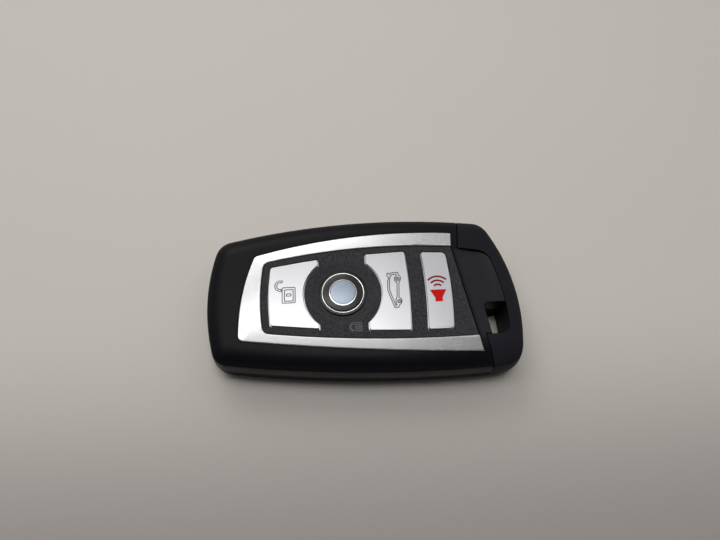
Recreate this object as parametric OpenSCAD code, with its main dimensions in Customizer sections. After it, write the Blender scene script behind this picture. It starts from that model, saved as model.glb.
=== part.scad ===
// Car key fob: a bowed two-part casing with a framed keypad of four press buttons,
// a remote circuit on a coin cell behind a lift-off cover, and an emergency key
// whose C-shaped head closes the nose round a key-ring hole.
// X runs along the fob with the key head at +X, Y across it, Z up from the back.

/* [Casing] */
// Overall length, key head included
body_l = 80.8; // [78:0.2:88]
// Overall width across the flanks
body_w = 42.6; // [42:0.2:48]
// Plan radius of the bowed flanks
flank_r = 190; // [160:5:300]
// Distance from the tail to the widest place
flank_from_tail = 46; // [42:0.5:50]
// Plan radius of the tail end
tail_r = 52; // [40:1:70]
// Plan radius of the nose end
nose_r = 50; // [42:1:60]
// How far the foremost point of the nose lies off the middle
nose_shift = 6.2; // [2:0.2:7]
// Plan radius of the four corners
corner_r = 5.4; // [4:0.2:6]
// Wall thickness of the two casings
wall = 1.6; // [1.4:0.1:1.8]
// Floor thickness of the lower casing
floor_t = 1.2; // [1:0.1:1.5]
// Height of the parting line above the back
seam_z = 6.4; // [5.8:0.1:6.8]
// How far the top edge rounds inwards
crown_w = 5.6; // [4.5:0.1:6.5]
// How far the back edge rounds inwards
back_w = 1.4; // [1:0.1:2.4]
// Squareness of the rounded flanks, 2 is an ellipse
crown_power = 3.2; // [2:0.1:4]
// Height of the locating lip above the parting line
lip_h = 0.8; // [0.5:0.1:1]
// Thickness of the locating lip
lip_t = 0.7; // [0.6:0.05:0.9]
// Clearance between fixed pieces
fit = 0.1; // [0.05:0.01:0.15]
// Radius of the posts between the casings and the board
post_r = 1.3; // [1.1:0.1:1.5]
// Radius of the locating pins on two of those posts
locate_r = 0.8; // [0.6:0.05:0.9]

/* [Keypad] */
// Gap between the switch housings and the deck
switch_gap = 0.3; // [0.2:0.05:0.5]
// Thickness of the deck under the keypad
deck_t = 1; // [0.8:0.1:1.2]
// Thickness of the rubber mat
mat_t = 0.4; // [0.3:0.05:0.5]
// Thickness of the button panel
panel_t = 1.6; // [1.5:0.05:1.8]
// How far the panel stands above the casing's crown
panel_proud = 0.15; // [0.1:0.05:0.3]
// Thickness of the metal frame at its inner edge
trim_t = 1.3; // [1:0.1:1.5]
// How far the frame stands above the panel at its inner edge
trim_proud = 0.3; // [0.1:0.05:0.4]
// How far the frame falls from its inner to its outer edge
trim_fall = 0.4; // [0.2:0.05:0.5]
// Width over which the frame falls
trim_wide = 3.6; // [3.2:0.1:4]
// Distance from the tail to the frame's far corner
trim_tail_far = 12.5; // [11.5:0.1:13.5]
// Distance from the tail to the frame's near corner
trim_tail_near = 8.8; // [8:0.1:10]
// Distance from the far flank to the frame's far corner
trim_in_far = 10; // [9.6:0.1:10.4]
// Distance from the near flank to the frame's near corner
trim_in_near = 10.3; // [9.6:0.1:11]
// Distance from the far flank to the frame's far end
trim_end_far = 5.7; // [5.3:0.1:6.1]
// Distance from the near flank to the frame's near end
trim_end_near = 4.5; // [4.2:0.1:5]
// Bow of the frame's tail side
trim_tail_bow = 1.2; // [0.8:0.1:1.6]
// Bow of the frame's near side
trim_near_bow = 0.75; // [0.5:0.05:1]
// Bow of the frame's far side
trim_far_bow = 2.4; // [2:0.1:2.6]
// Distance from the tail to the panel's corners
panel_from_tail = 15; // [14.5:0.1:16]
// Distance from the flanks to those corners
panel_in = 11.8; // [11.5:0.1:12.4]
// Distance from the far flank to the panel's far end
panel_end_far = 9.3; // [9:0.1:9.8]
// Bow of the panel's tail side
panel_tail_bow = 0.75; // [0.4:0.05:1]
// Bow of the panel's near side
panel_near_bow = 1.1; // [0.8:0.1:1.4]
// Bow of the panel's far side
panel_far_bow = 1.8; // [1.4:0.1:2]
// Corner radius of the frame at the tail
trim_r = 1.5; // [1:0.1:2.5]
// Corner radius of the panel at the tail
panel_r = 1.9; // [1.2:0.1:2.5]
// Distance from the nose to the slanted panel end, on the middle line
end_from_nose = 14.6; // [14:0.1:15.4]
// Slant of the panel end in degrees
end_slant = 9.6; // [7:0.2:11]
// Width of the panel's border round the caps
cap_border = 1.85; // [1.5:0.05:2.1]
// Corner radius of the caps
cap_r = 0.6; // [0.4:0.05:0.8]
// Running gap round each cap
cap_gap = 0.18; // [0.12:0.01:0.25]
// How far the caps stand above the panel
cap_proud = 0.2; // [0.1:0.05:0.3]
// Width of the hidden lip that keeps each cap in the panel
keep_w = 0.4; // [0.3:0.05:0.5]
// Thickness of that lip
keep_t = 0.3; // [0.25:0.05:0.4]
// Travel of the buttons
press = 0.5; // [0.4:0.05:0.5]
// Gap left under a cap at full travel
stop_gap = 0.05; // [0.03:0.01:0.08]
// Diameter of the stems under the caps
stem_d = 3; // [2.4:0.1:3.4]
// How far the lock button lies off the middle of the panel, towards the tail
lock_shift = 5.5; // [4.5:0.1:6.5]
// Diameter of the lock button
lock_d = 12; // [11:0.1:12.4]
// Diameter of the round field between the unlock and boot caps
field_d = 19.9; // [18:0.1:21]
// Diameter of the crest of the dish round the lock button
dish_d = 16.2; // [15:0.1:17]
// Depth of that dish
dish_h = 0.3; // [0.1:0.05:0.4]
// Outer diameter of the badge ring
ring_d = 10.84; // [10:0.02:11]
// Width of the badge ring
ring_w = 0.3; // [0.25:0.01:0.5]
// How far the badge ring stands above the panel
ring_proud = 0.1; // [0.05:0.01:0.2]
// Clearance round the badge ring and inside it
ring_fit = 0.03; // [0.02:0.01:0.05]
// Thickness of the lock button under its badge
seat_t = 0.65; // [0.5:0.05:0.7]
// Rise of the badge dome above its rim
dome_h = 0.4; // [0.2:0.05:0.6]
// Distance from the lock centre to the straight ends of the caps beside it
cap_end = 6.1; // [5.8:0.05:6.5]
// Distance from the panel's end to the outer corners of the panic cap, on the middle line
panic_from_end = 4; // [3.6:0.1:4.6]
// Gap between the boot and panic caps
cap_space = 4.1; // [3:0.1:4.5]
// Length of the panic cap at its corners
panic_l = 6.5; // [6:0.1:7]
// Bow of the cap edges that run across the fob
cap_bow = 0.6; // [0.3:0.05:0.8]
// Bow of the panic cap's outer edge
panic_bow = 0.8; // [0.5:0.05:1]
// Gap round the stems in the deck and the mat
stem_gap = 0.4; // [0.3:0.05:0.5]

/* [Remote] */
// Coin cell diameter
cell_d = 24.5; // [23:0.1:24.5]
// Coin cell height
cell_h = 5; // [4:0.1:5.4]
// Height and width of the step round the cell's upper face
cell_step = 0.5; // [0.3:0.05:0.8]
// Distance from the tail to the wall round the coin cell
cell_from_tail = 7.5; // [7:0.1:9]
// Clearance round the coin cell
cell_fit = 0.2; // [0.15:0.05:0.3]
// Wall round the coin cell
cell_wall = 0.9; // [0.8:0.05:1.1]
// Height of the contact spring between cell and board
contact_h = 0.6; // [0.5:0.05:0.8]
// Thickness of the contact strips
contact_t = 0.25; // [0.2:0.01:0.3]
// Width of the side contact
plus_w = 5; // [4:0.1:5.5]
// Width of the face contact
minus_w = 3; // [2.5:0.1:4]
// Length of the side contact's foot
foot_l = 3; // [2.5:0.1:3.5]
// Thickness of the circuit board
board_t = 0.8; // [0.8:0.05:1.2]
// Width of the switch housings
switch_w = 4; // [3.6:0.1:4.5]
// Height of the switch housings
switch_h = 1.2; // [1.1:0.05:1.5]
// Diameter of the switch plungers
plunger_d = 1.8; // [1.4:0.1:2]
// How far the plungers stand above their housings
plunger_h = 0.5; // [0.5:0.05:0.8]
// Clearance round the plungers
plunger_fit = 0.05; // [0.03:0.01:0.08]
// Gap under the plungers at full travel
plunger_gap = 0.15; // [0.12:0.01:0.2]
// Thickness of the floor under the plungers
switch_floor = 0.1; // [0.06:0.01:0.1]
// Gap between the board and what stands round it
board_gap = 0.4; // [0.3:0.05:0.6]
// Least gap between the parts under the board
part_gap = 0.5; // [0.3:0.05:0.8]
// Space between the controller and radio chips
chip_space = 4; // [3:0.1:5]
// Side of the controller chip
controller_w = 7; // [5:0.1:8]
// Side of the radio chip
radio_w = 4; // [3:0.1:5]
// Height of the chips
chip_h = 0.9; // [0.7:0.05:1]
// Length of the crystal
crystal_l = 3.2; // [2.5:0.1:4]
// Width of the crystal
crystal_w = 2.5; // [2:0.1:2.6]
// Length of the chip capacitors
capacitor_l = 1.6; // [1:0.1:2]
// Width and height of the chip capacitors
capacitor_w = 0.8; // [0.5:0.05:1]
// Space between the chip capacitors
capacitor_space = 1.4; // [1:0.1:1.6]
// Number of chip capacitors
capacitor_n = 6; // [4:1:6]
// Length of the transponder coil
coil_l = 12; // [10:0.2:13]
// Height and width of the transponder coil's end flanges
coil_w = 3.6; // [3:0.1:4]
// Thickness of those flanges
coil_flange = 2; // [1.5:0.1:2.5]
// Depth of the winding
coil_deep = 0.6; // [0.5:0.05:0.8]

/* [Battery cover] */
// Thickness of the cover
cover_t = 1.2; // [1.1:0.05:1.4]
// Corner radius of the cover
cover_r = 8; // [6:0.2:10]
// Gap round the cover
cover_gap = 0.15; // [0.1:0.01:0.2]
// Gap between the cover and the cell
cell_gap = 0.2; // [0.15:0.05:0.4]
// Thickness of the ledge that the cover closes on
ledge_t = 1.2; // [1.2:0.05:1.5]
// Wall between the cell and the sealing ring
seal_in = 0.6; // [0.5:0.05:0.8]
// Wall between the sealing ring and the cover's edge
seal_out = 0.85; // [0.7:0.05:1]
// Width of the sealing ring
seal_w = 0.7; // [0.6:0.05:0.9]
// Height of the sealing ring
seal_h = 0.7; // [0.5:0.05:0.8]
// Diameter of the snap pegs
peg_d = 1.5; // [1.2:0.1:1.8]
// Height of the snap pegs
peg_h = 0.8; // [0.5:0.05:0.9]
// Radius of the pry notch
pry_r = 2.6; // [2:0.1:3]
// Depth of the pry notch
pry_h = 0.7; // [0.5:0.05:0.9]
// Width of the pry notch in from the cover's edge
pry_w = 1.6; // [1:0.1:2]

/* [Emergency key] */
// Gap between the key head and the casing
head_gap = 0.15; // [0.1:0.01:0.2]
// Distance from the far flank to the inside of the head's far arm
far_arm_in = 10; // [9.6:0.1:10.4]
// Distance from the near flank to the inside of the head's near arm
near_arm_in = 8.8; // [8.5:0.1:9.2]
// Lean of the head's far seam, along over across
far_seam_lean = 0.12; // [0.05:0.01:0.15]
// Lean of the head's near seam, along over across
near_seam_lean = 0.175; // [0.1:0.005:0.2]
// How far the end block's far corner lies behind its near corner
block_back = 2.9; // [2.5:0.1:3.3]
// How far the end block's far side falls towards the nose
block_fall = 1.25; // [0.8:0.05:1.5]
// Bow of the end block's nose side
block_bow = 1.15; // [0.8:0.05:1.4]
// Corner radius of the end block
block_r = 2; // [1.6:0.1:2.4]
// Radius of the thumb scoop in the end block
scoop_r = 12; // [10:0.5:16]
// Distance from the panel end to the line of that scoop
scoop_in = 5.8; // [5.6:0.1:6.4]
// Fall of the scoop towards the far arm in degrees
scoop_fall = 3; // [2:0.1:3.4]
// Width of the head's rim beside the key-ring hole
rim_w = 4.4; // [4:0.1:4.8]
// Length of the key-ring hole across the fob
hole_l = 8.3; // [7.5:0.1:9]
// Corner radius of the key-ring hole
hole_r = 1.2; // [0.8:0.1:1.6]
// Width of the bar between the panel end and the key-ring hole
bar_w = 3.55; // [3.2:0.05:4]
// Distance from the nose to the far seam of the head
seam_from_nose = 14.8; // [14.2:0.1:15.4]
// Distance from the nose to the near seam of the head
near_seam_from_nose = 10.6; // [10:0.1:11.2]
// Distance from the far flank to the middle of the blade
blade_in = 6.5; // [6.3:0.1:6.8]
// How far the blade's lower face lies below the parting line
blade_drop = 1.3; // [1.1:0.1:1.5]
// Width of the blade
blade_w = 6.4; // [6:0.1:6.6]
// Thickness of the blade
blade_t = 2.2; // [1.8:0.1:2.4]
// Free length of the blade
blade_l = 42; // [34:0.5:44]
// Length of the blade's root inside the head
root_l = 8; // [6:0.2:9]
// Width of the blade's root
root_w = 5; // [4:0.1:6]
// Clearance round the blade in its channel
blade_fit = 0.2; // [0.15:0.01:0.3]
// Wall beside the blade's channel
channel_wall = 1; // [0.8:0.05:1.1]
// Width of the bed under the blade
bed_w = 4; // [3:0.1:5]
// Width of the rib over the blade
rib_w = 1.2; // [0.8:0.1:1.6]
// Width of the milled track in the blade
track_w = 1.5; // [1.2:0.05:1.8]
// Depth of the milled track
track_h = 0.5; // [0.3:0.05:0.7]
// Distance from the head to the end of the track
track_in = 8; // [6.5:0.1:10]

/* [Release] */
// Length of the release button
release_l = 7; // [6:0.1:7.5]
// Distance from the head's far seam to the middle of the release button
release_in = 5.8; // [5.5:0.1:6.2]
// Width of the release button
release_w = 4; // [3.6:0.1:4.2]
// Corner radius of the release button
release_r = 0.8; // [0.5:0.1:1.5]
// Gap round the release button
release_gap = 0.15; // [0.1:0.01:0.2]
// Lip that keeps the release button in the floor
release_keep = 0.5; // [0.4:0.05:0.6]
// Thickness of that lip
release_lip_t = 0.8; // [0.6:0.05:1]
// Travel of the release button
release_press = 0.5; // [0.3:0.05:0.5]
// Diameter of the release button's post
post_d = 2.2; // [1.8:0.1:2.4]
// Thickness of the latch spring
latch_t = 0.25; // [0.2:0.01:0.3]
// Width of the latch spring
latch_w = 3.6; // [3:0.1:4.2]
// Distance from the head's far seam to the root of the latch spring
latch_in = 14.4; // [13:0.1:16]
// Distance from the head's far seam to the tip of the latch spring
latch_tip_in = 3; // [2.6:0.1:3.4]
// Width of the latch spring's nose at its foot
latch_nose_w = 0.7; // [0.5:0.05:0.9]
// Width of the latch notch in the blade
notch_w = 2.4; // [2.2:0.1:2.8]
// Depth of the latch notch in the blade
notch_h = 0.6; // [0.4:0.05:0.7]

/* [Hidden] */

// Overlaps for clean cuts, and a reach past any outline
over = 0.2;
reach = 100;
slice = 0.05;

// Places along and across the fob
tail_x = -body_l / 2;
nose_x = body_l / 2;
half_w = body_w / 2;
flank_x = tail_x + flank_from_tail;

// Heights, from the back upwards
cell_z = cover_t + cell_gap;
board_z = cell_z + cell_h + contact_h;
board_top = board_z + board_t;
switch_top = board_top + switch_h;
plunger_top = switch_top + plunger_h;
deck_z = switch_top + switch_gap;
deck_top = deck_z + deck_t;
panel_z = deck_top + mat_t;
panel_top = panel_z + panel_t;
crown_z = panel_top - panel_proud;
cap_top = panel_top + cap_proud;
trim_top = panel_top + trim_proud;
trim_z = trim_top - trim_t;
keep_z = panel_z + press + stop_gap;
keep_top = keep_z + keep_t;
ledge_top = cover_t + ledge_t;

// Panel end, head seams and key-ring hole
far_arm_y = half_w - far_arm_in;
near_arm_y = near_arm_in - half_w;
far_seam_x = nose_x - seam_from_nose;
near_seam_x = nose_x - near_seam_from_nose;
rim_x = nose_x - rim_w;
block_far = [rim_x - block_back, far_arm_y - block_fall];
trim_end_gap = 1.95;
hole_top = near_arm_y + hole_l;

// Frame and panel outlines
trim_far_tail = [tail_x + trim_tail_far, half_w - trim_in_far];
trim_near_tail = [tail_x + trim_tail_near, trim_in_near - half_w];
trim_near_end = [end_x(trim_end_near - half_w), trim_end_near - half_w];
trim_far_end = [far_seam_x, half_w - trim_end_far];
panel_far_tail = [tail_x + panel_from_tail, half_w - panel_in];
panel_near_tail = [tail_x + panel_from_tail, panel_in - half_w];
panel_near_end = [end_x(near_arm_y), near_arm_y];
panel_far_end = [end_x(half_w - panel_end_far), half_w - panel_end_far];

// Caps
lock_x = (panel_far_tail.x + end_x(0)) / 2 - lock_shift;
boot_x = lock_x + cap_end;
panic_x = end_x(0) - panic_from_end - panic_l;
boot_l = panic_x - cap_space - boot_x;
unlock_stem = [(panel_far_tail.x + cap_border + lock_x - field_d / 2) / 2, 0];
lock_stem = [lock_x, 0];
boot_stem = [boot_x + (boot_l + field_d / 2 - cap_end) / 2, 0];
panic_stem = [panic_x + panic_l / 2 + cap_bow, 0];
stems = [unlock_stem, lock_stem, boot_stem, panic_stem];
seat_r = ring_d / 2 + ring_fit;
seat_z = keep_z + seat_t;
ring_top = panel_top + ring_proud;

// Emergency key, latch and release button
blade_y = half_w - blade_in;
blade_z = seam_z - blade_drop;
blade_top = blade_z + blade_t;
blade_tip = far_seam_x - blade_l;
channel_y = blade_y - blade_w / 2 - blade_fit;
latch_z = deck_z - release_press - latch_t - fit;
latch_x = far_seam_x - latch_in;
latch_end = far_seam_x - latch_tip_in;
notch_x = latch_end - notch_w / 2;
stake_x = latch_x + 1.5 * locate_r;
release_x = far_seam_x - release_in;
release_y = channel_y - channel_wall - board_gap - release_keep - release_w / 2;

// Coin cell, cover and board
bore_r = cell_d / 2 + cell_fit;
cell_ring_r = bore_r + cell_wall;
cell_x = tail_x + cell_from_tail + cell_ring_r;
cell_y = channel_y - fit - cell_ring_r;
seal_r = bore_r + seal_in;
cover_half = seal_r + seal_w + seal_out;
snap_at = cover_half - cover_r * (1 - sqrt(0.5)) - peg_d / 2;
board_inset = lip_t + fit + board_gap;
tail_post_in = 4.8;
near_post_in = 9;
post_off = 1;
tail_post = [tail_x + tail_post_in, channel_y - 4 * post_r];
near_post = [end_x(0) - near_post_in, near_arm_y + post_off];
rest_post = [boot_x + controller_w + part_gap + post_r, channel_y - channel_wall - board_gap - post_r];
hold_downs = [
    [cell_x - bore_r + tail_post_in, near_arm_y + post_off],
    [boot_x + post_r, near_arm_y - post_off],
    [boot_x + near_post_in + post_r, channel_y - 3 * post_r]
];
slot_w = plus_w + 2 * board_gap;

// Small parts under the board
coil_in = 2.4;
coil_at = [boot_x + coil_in + coil_l / 2, near_post.y + post_r + part_gap + coil_w / 2];
coil_side = coil_at.y + coil_w / 2 + part_gap;
capacitor_pitch = capacitor_w + capacitor_space;
capacitors_at = [boot_x - capacitor_space, coil_side + capacitor_l / 2];
controller_at = [boot_x + controller_w / 2, coil_side + capacitor_l + part_gap + controller_w / 2];
radio_at = [boot_x + controller_w + chip_space + radio_w / 2, coil_side + crystal_w + part_gap + radio_w / 2];
crystal_at = [radio_at.x, coil_side + crystal_w / 2];
coil_neck = coil_w - 2 * coil_deep;
coil_bared = coil_l - 2 * coil_flange;

// Face contact, measured from the middle of the cell
finger_root = 5;
finger_bend = -1;
finger_touch = -6;
finger_end = -8;

// Offsets of the milled track's bends along the blade
track_bends = [0.8, -0.5, 0.3, 1, -0.8, 0.5, -0.2];

// Plan line of the slanted panel end, and the head's two seams
function end_x(y) = nose_x - end_from_nose - y * tan(end_slant);
function far_seam(y) = far_seam_x + (y - far_arm_y) * far_seam_lean;
function near_seam(y) = near_seam_x - (y - near_arm_y) * near_seam_lean;

// Points from a up to b on a shallow curve that bows to the right of the way
function bow(a, b, rise, n = 10) = [
    for (i = [0 : n - 1])
        let (t = i / n, way = b - a, side = [way.y, -way.x] / norm(way))
            a + way * t + side * 4 * rise * t * (1 - t)
];

// Rounded corners on a 2-D shape
module rounded(r) {
    offset(r = r, $fn = 32) offset(delta = -r) children();
}

// A straight prism between two heights
module prism(z0, z1) {
    translate([0, 0, z0]) linear_extrude(z1 - z0) children();
}

// Plan outline of the whole fob at its widest height
module plan() {
    rounded(corner_r) intersection() {
        translate([flank_x, half_w - flank_r]) circle(flank_r, $fn = 240);
        translate([flank_x, flank_r - half_w]) circle(flank_r, $fn = 240);
        translate([tail_x + tail_r, 0]) circle(tail_r, $fn = 96);
        translate([nose_x - nose_r, -nose_shift]) circle(nose_r, $fn = 96);
    }
}

// Slices from the parting line to the height z, drawn in towards it by a super-ellipse
module shell_slices(z, draw_in, steps = 8) {
    up = z > seam_z;
    for (i = [0 : steps]) {
        a = 90 * i / steps;
        rise = (z - seam_z) * pow(sin(a), 2 / crown_power);
        d = draw_in * (1 - pow(cos(a), 2 / crown_power));
        foot = i == 0 ? seam_z - (up ? 0 : slice) : seam_z + rise - (up ? slice : 0);
        translate([0, 0, foot]) linear_extrude(slice) offset(delta = -d) plan();
    }
}

module top_form() {
    hull() shell_slices(crown_z, crown_w);
}

module back_form() {
    hull() shell_slices(0, back_w);
}

module whole_form() {
    hull() {
        shell_slices(crown_z, crown_w);
        shell_slices(0, back_w);
    }
}

// Everything on the tail side of the panel end
module tail_side() {
    polygon([[end_x(reach), reach], [-reach, reach], [-reach, -reach], [end_x(-reach), -reach]]);
}

// What the head's C encloses: the casing's end block and the key-ring hole
module block_plan() {
    rounded(block_r) polygon(concat(
        [[tail_x, near_arm_y]],
        bow([rim_x, near_arm_y], block_far, block_bow),
        [block_far, [far_seam_x, far_arm_y], [tail_x, far_arm_y]]
    ));
}

// The head's share of the plan
module head_plan() {
    difference() {
        polygon([
            [far_seam(reach), reach], [far_seam_x, far_arm_y],
            [near_seam_x, near_arm_y], [near_seam(-reach), -reach],
            [reach * 2, -reach], [reach * 2, reach]
        ]);
        block_plan();
    }
}

// The key-ring hole as far as it cuts the casing
module ring_hole_plan() {
    foot = near_arm_y - hole_r;
    rounded(hole_r) polygon([
        [end_x(hole_top) + bar_w, hole_top], [end_x(near_arm_y) + bar_w, foot],
        [nose_x, foot], [nose_x, hole_top]
    ]);
}

// Thumb scoop in the end block: it starts above the key-ring hole and falls to the far arm
module scoop() {
    translate([end_x(hole_top) + scoop_in, hole_top, crown_z + scoop_r]) rotate([0, 0, end_slant])
        rotate([-90 - scoop_fall, 0, 0]) cylinder(r = scoop_r, h = far_arm_y - hole_top, $fn = 96);
}

// What the two casings leave to the head and the key ring
module nose_cut_plan() {
    offset(delta = head_gap) head_plan();
    ring_hole_plan();
}

// Plan of the hollow inside the casings, which ends at the slanted bulkhead
module cavity_plan() {
    intersection() {
        offset(delta = -wall) plan();
        tail_side();
    }
}

// Outer outline of the frame, before its ends are cut
module trim_outline() {
    rounded(trim_r) polygon(concat(
        bow(trim_far_tail, trim_near_tail, trim_tail_bow),
        bow(trim_near_tail, trim_near_end, trim_near_bow),
        [trim_near_end, [reach, trim_near_end.y], [reach, trim_far_end.y]],
        bow(trim_far_end, trim_far_tail, trim_far_bow)
    ));
}

// Outline of the panel, before its slanted end is cut
module panel_outline() {
    rounded(panel_r) polygon(concat(
        bow(panel_far_tail, panel_near_tail, panel_tail_bow),
        bow(panel_near_tail, panel_near_end, panel_near_bow),
        [panel_near_end, [reach, panel_near_end.y], [reach, panel_far_end.y]],
        bow(panel_far_end, panel_far_tail, panel_far_bow)
    ));
}

module panel_plan() {
    intersection() {
        panel_outline();
        tail_side();
    }
}

// The open frame: the band between both outlines, with its two slanted ends
module trim_plan() {
    difference() {
        intersection() {
            trim_outline();
            tail_side();
        }
        panel_outline();
        polygon([
            [far_seam_x - trim_end_gap, 0], [far_seam_x - trim_end_gap, far_arm_y],
            [far_seam(reach) - trim_end_gap, reach], [reach, reach], [reach, 0]
        ]);
    }
}

// The field of the caps inside the panel's border
module cap_field() {
    rounded(cap_r) offset(delta = -cap_border) panel_outline();
}

// A band across the cap field between two bowed lines, given at the caps' corners
module cap_band(x0, x1, bow0, bow1) {
    y = panel_far_end.y;
    polygon(concat(
        bow([x0, y], [x0, -y], -bow0),
        [[x0, -y]],
        bow([x1, -y], [x1, y], bow1),
        [[x1, y]]
    ));
}

module unlock_plan() {
    difference() {
        intersection() {
            cap_field();
            cap_band(-reach, lock_x - cap_end, 0, 0);
        }
        translate([lock_x, 0]) circle(d = field_d, $fn = 96);
    }
}

module boot_plan() {
    difference() {
        rounded(cap_r) intersection() {
            cap_field();
            cap_band(boot_x, boot_x + boot_l, 0, cap_bow);
        }
        translate([lock_x, 0]) circle(d = field_d, $fn = 96);
    }
}

module panic_plan() {
    rounded(cap_r) intersection() {
        cap_field();
        cap_band(panic_x, panic_x + panic_l, cap_bow, panic_bow);
    }
}

// A cap with its hidden keeping lip and the stem that works its switch
module cap(stem) {
    prism(keep_z, cap_top) children();
    prism(keep_z, keep_top) offset(delta = keep_w) children();
    translate([stem.x, stem.y, plunger_top]) cylinder(d = stem_d, h = keep_z - plunger_top + over, $fn = 32);
}

// Holes for the four stems through a layer between two heights
module stem_holes(z0, z1) {
    for (p = stems)
        translate([p.x, p.y, z0 - over]) cylinder(d = stem_d + 2 * stem_gap, h = z1 - z0 + 2 * over, $fn = 32);
}

// The panel opening for one cap: a running gap above and room for the lip below
module cap_opening() {
    prism(panel_z - over, panel_top + over) offset(delta = cap_gap) children();
    prism(panel_z - over, keep_top + stop_gap) offset(delta = keep_w + cap_gap) children();
}

// A chip or other small part that hangs under the board
module under_board(at, size) {
    translate([at.x - size.x / 2, at.y - size.y / 2, board_z - size.z]) cube(size);
}

// Room for the blade in both casings
module blade_channel() {
    translate([blade_tip - 2 * blade_fit, channel_y, blade_z - blade_fit])
        cube([reach, blade_w + 2 * blade_fit, blade_t + 2 * blade_fit]);
}

module cover_plan(half) {
    translate([cell_x, cell_y]) rounded(cover_r) square(2 * half, center = true);
}

module release_plan(grow) {
    translate([release_x, release_y])
        rounded(release_r) square([release_l + 2 * grow, release_w + 2 * grow], center = true);
}

module upper_casing() {
    color([0.05, 0.05, 0.055]) difference() {
        union() {
            difference() {
                top_form();
                prism(seam_z - over, deck_z) cavity_plan();
            }
            // Posts that hold the board down
            for (p = hold_downs)
                translate([p.x, p.y, board_top]) cylinder(r = post_r, h = deck_z - board_top + over, $fn = 32);
            // Boss and stake for the latch spring
            translate([stake_x, blade_y, latch_z + latch_t])
                cylinder(r = post_r, h = deck_z - latch_z - latch_t + over, $fn = 32);
            translate([stake_x, blade_y, latch_z - latch_t])
                cylinder(r = locate_r - fit, h = 3 * latch_t, $fn = 32);
            // Rib that guides the blade from above
            translate([blade_tip, blade_y - rib_w / 2, blade_top + blade_fit])
                cube([latch_x - blade_tip - rib_w, rib_w, deck_z - blade_top - blade_fit + over]);
        }
        prism(seam_z - over, crown_z + over) nose_cut_plan();
        prism(trim_z, crown_z + over) offset(delta = fit) trim_plan();
        prism(deck_top, crown_z + over) offset(delta = fit) panel_plan();
        stem_holes(deck_z, deck_top);
        scoop();
        blade_channel();
    }
}

module lower_casing() {
    lip_z = seam_z - lip_h;
    color([0.06, 0.06, 0.065]) difference() {
        union() {
            difference() {
                back_form();
                prism(floor_t, seam_z + over) cavity_plan();
            }
            // Locating lip, rooted in the wall below the parting line
            prism(lip_z, seam_z) difference() {
                offset(delta = over) cavity_plan();
                offset(delta = -lip_t - fit) cavity_plan();
            }
            prism(lip_z, seam_z + lip_h) difference() {
                offset(delta = -fit) cavity_plan();
                offset(delta = -lip_t - fit) cavity_plan();
            }
            // Ledge round the cover, and the wall round the cell that carries the board
            prism(floor_t - over, ledge_top) intersection() {
                offset(delta = over) cavity_plan();
                cover_plan(cover_half + ledge_t);
            }
            translate([cell_x, cell_y, floor_t - over])
                cylinder(r = cell_ring_r, h = board_z - floor_t + over, $fn = 96);
            // Posts under the board, two of them with locating pins
            for (p = [tail_post, near_post, rest_post])
                translate([p.x, p.y, floor_t - over])
                    cylinder(r = post_r, h = board_z - floor_t + over, $fn = 32);
            for (p = [tail_post, near_post])
                translate([p.x, p.y, board_z - over])
                    cylinder(r = locate_r, h = board_t + 2 * over, $fn = 32);
            // Bed and inner wall of the blade's channel
            translate([blade_tip, blade_y - bed_w / 2, floor_t - over])
                cube([end_x(blade_y) - blade_tip, bed_w, blade_z - floor_t]);
            translate([cell_x + cell_ring_r, channel_y - channel_wall, floor_t - over])
                cube([end_x(channel_y) - cell_x - cell_ring_r, channel_wall, blade_top - floor_t + over]);
        }
        prism(-over, board_top + lip_h) nose_cut_plan();
        prism(-over, cover_t) cover_plan(cover_half + cover_gap);
        translate([cell_x, cell_y, -over]) cylinder(r = bore_r, h = board_z + 2 * over, $fn = 96);
        // Groove for the sealing ring
        translate([cell_x, cell_y, cover_t - over]) difference() {
            cylinder(r = seal_r + seal_w, h = seal_h + over, $fn = 96);
            translate([0, 0, -over]) cylinder(r = seal_r, h = seal_h + 3 * over, $fn = 96);
        }
        // Blind holes for the snap pegs
        for (sx = [-1, 1], sy = [-1, 1])
            translate([cell_x + sx * snap_at, cell_y + sy * snap_at, cover_t - over])
                cylinder(d = peg_d + fit, h = peg_h + fit + over, $fn = 32);
        // Slot in the cell wall for the side contact
        translate([cell_x - cell_ring_r - over, cell_y - slot_w / 2, ledge_top])
            cube([2 * cell_wall, slot_w, board_z]);
        prism(-over, floor_t + over) release_plan(release_gap);
        blade_channel();
    }
}

module battery_cover() {
    color([0.07, 0.07, 0.075]) {
        difference() {
            intersection() {
                back_form();
                prism(-over, cover_t) cover_plan(cover_half);
            }
            // Pry notch
            translate([cell_x + cover_half + pry_r - pry_w, cell_y, -over])
                cylinder(r = pry_r, h = over + pry_h, $fn = 48);
        }
        for (sx = [-1, 1], sy = [-1, 1])
            translate([cell_x + sx * snap_at, cell_y + sy * snap_at, cover_t - over])
                cylinder(d = peg_d, h = peg_h + over, $fn = 32);
    }
}

module cover_seal() {
    color([0.15, 0.15, 0.16]) translate([cell_x, cell_y, cover_t]) rotate_extrude($fn = 96)
        translate([seal_r, 0]) square([seal_w, seal_h]);
}

module bezel_trim() {
    color([0.8, 0.8, 0.79]) intersection() {
        prism(trim_z, trim_top + over) trim_plan();
        // Sloping roof, so that the faces fall outwards and meet in mitres
        hull() {
            prism(trim_z - over, trim_top - 2 * trim_fall) offset(delta = trim_wide) trim_outline();
            prism(trim_z - over, trim_top) offset(delta = -trim_wide) trim_outline();
        }
    }
}

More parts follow.
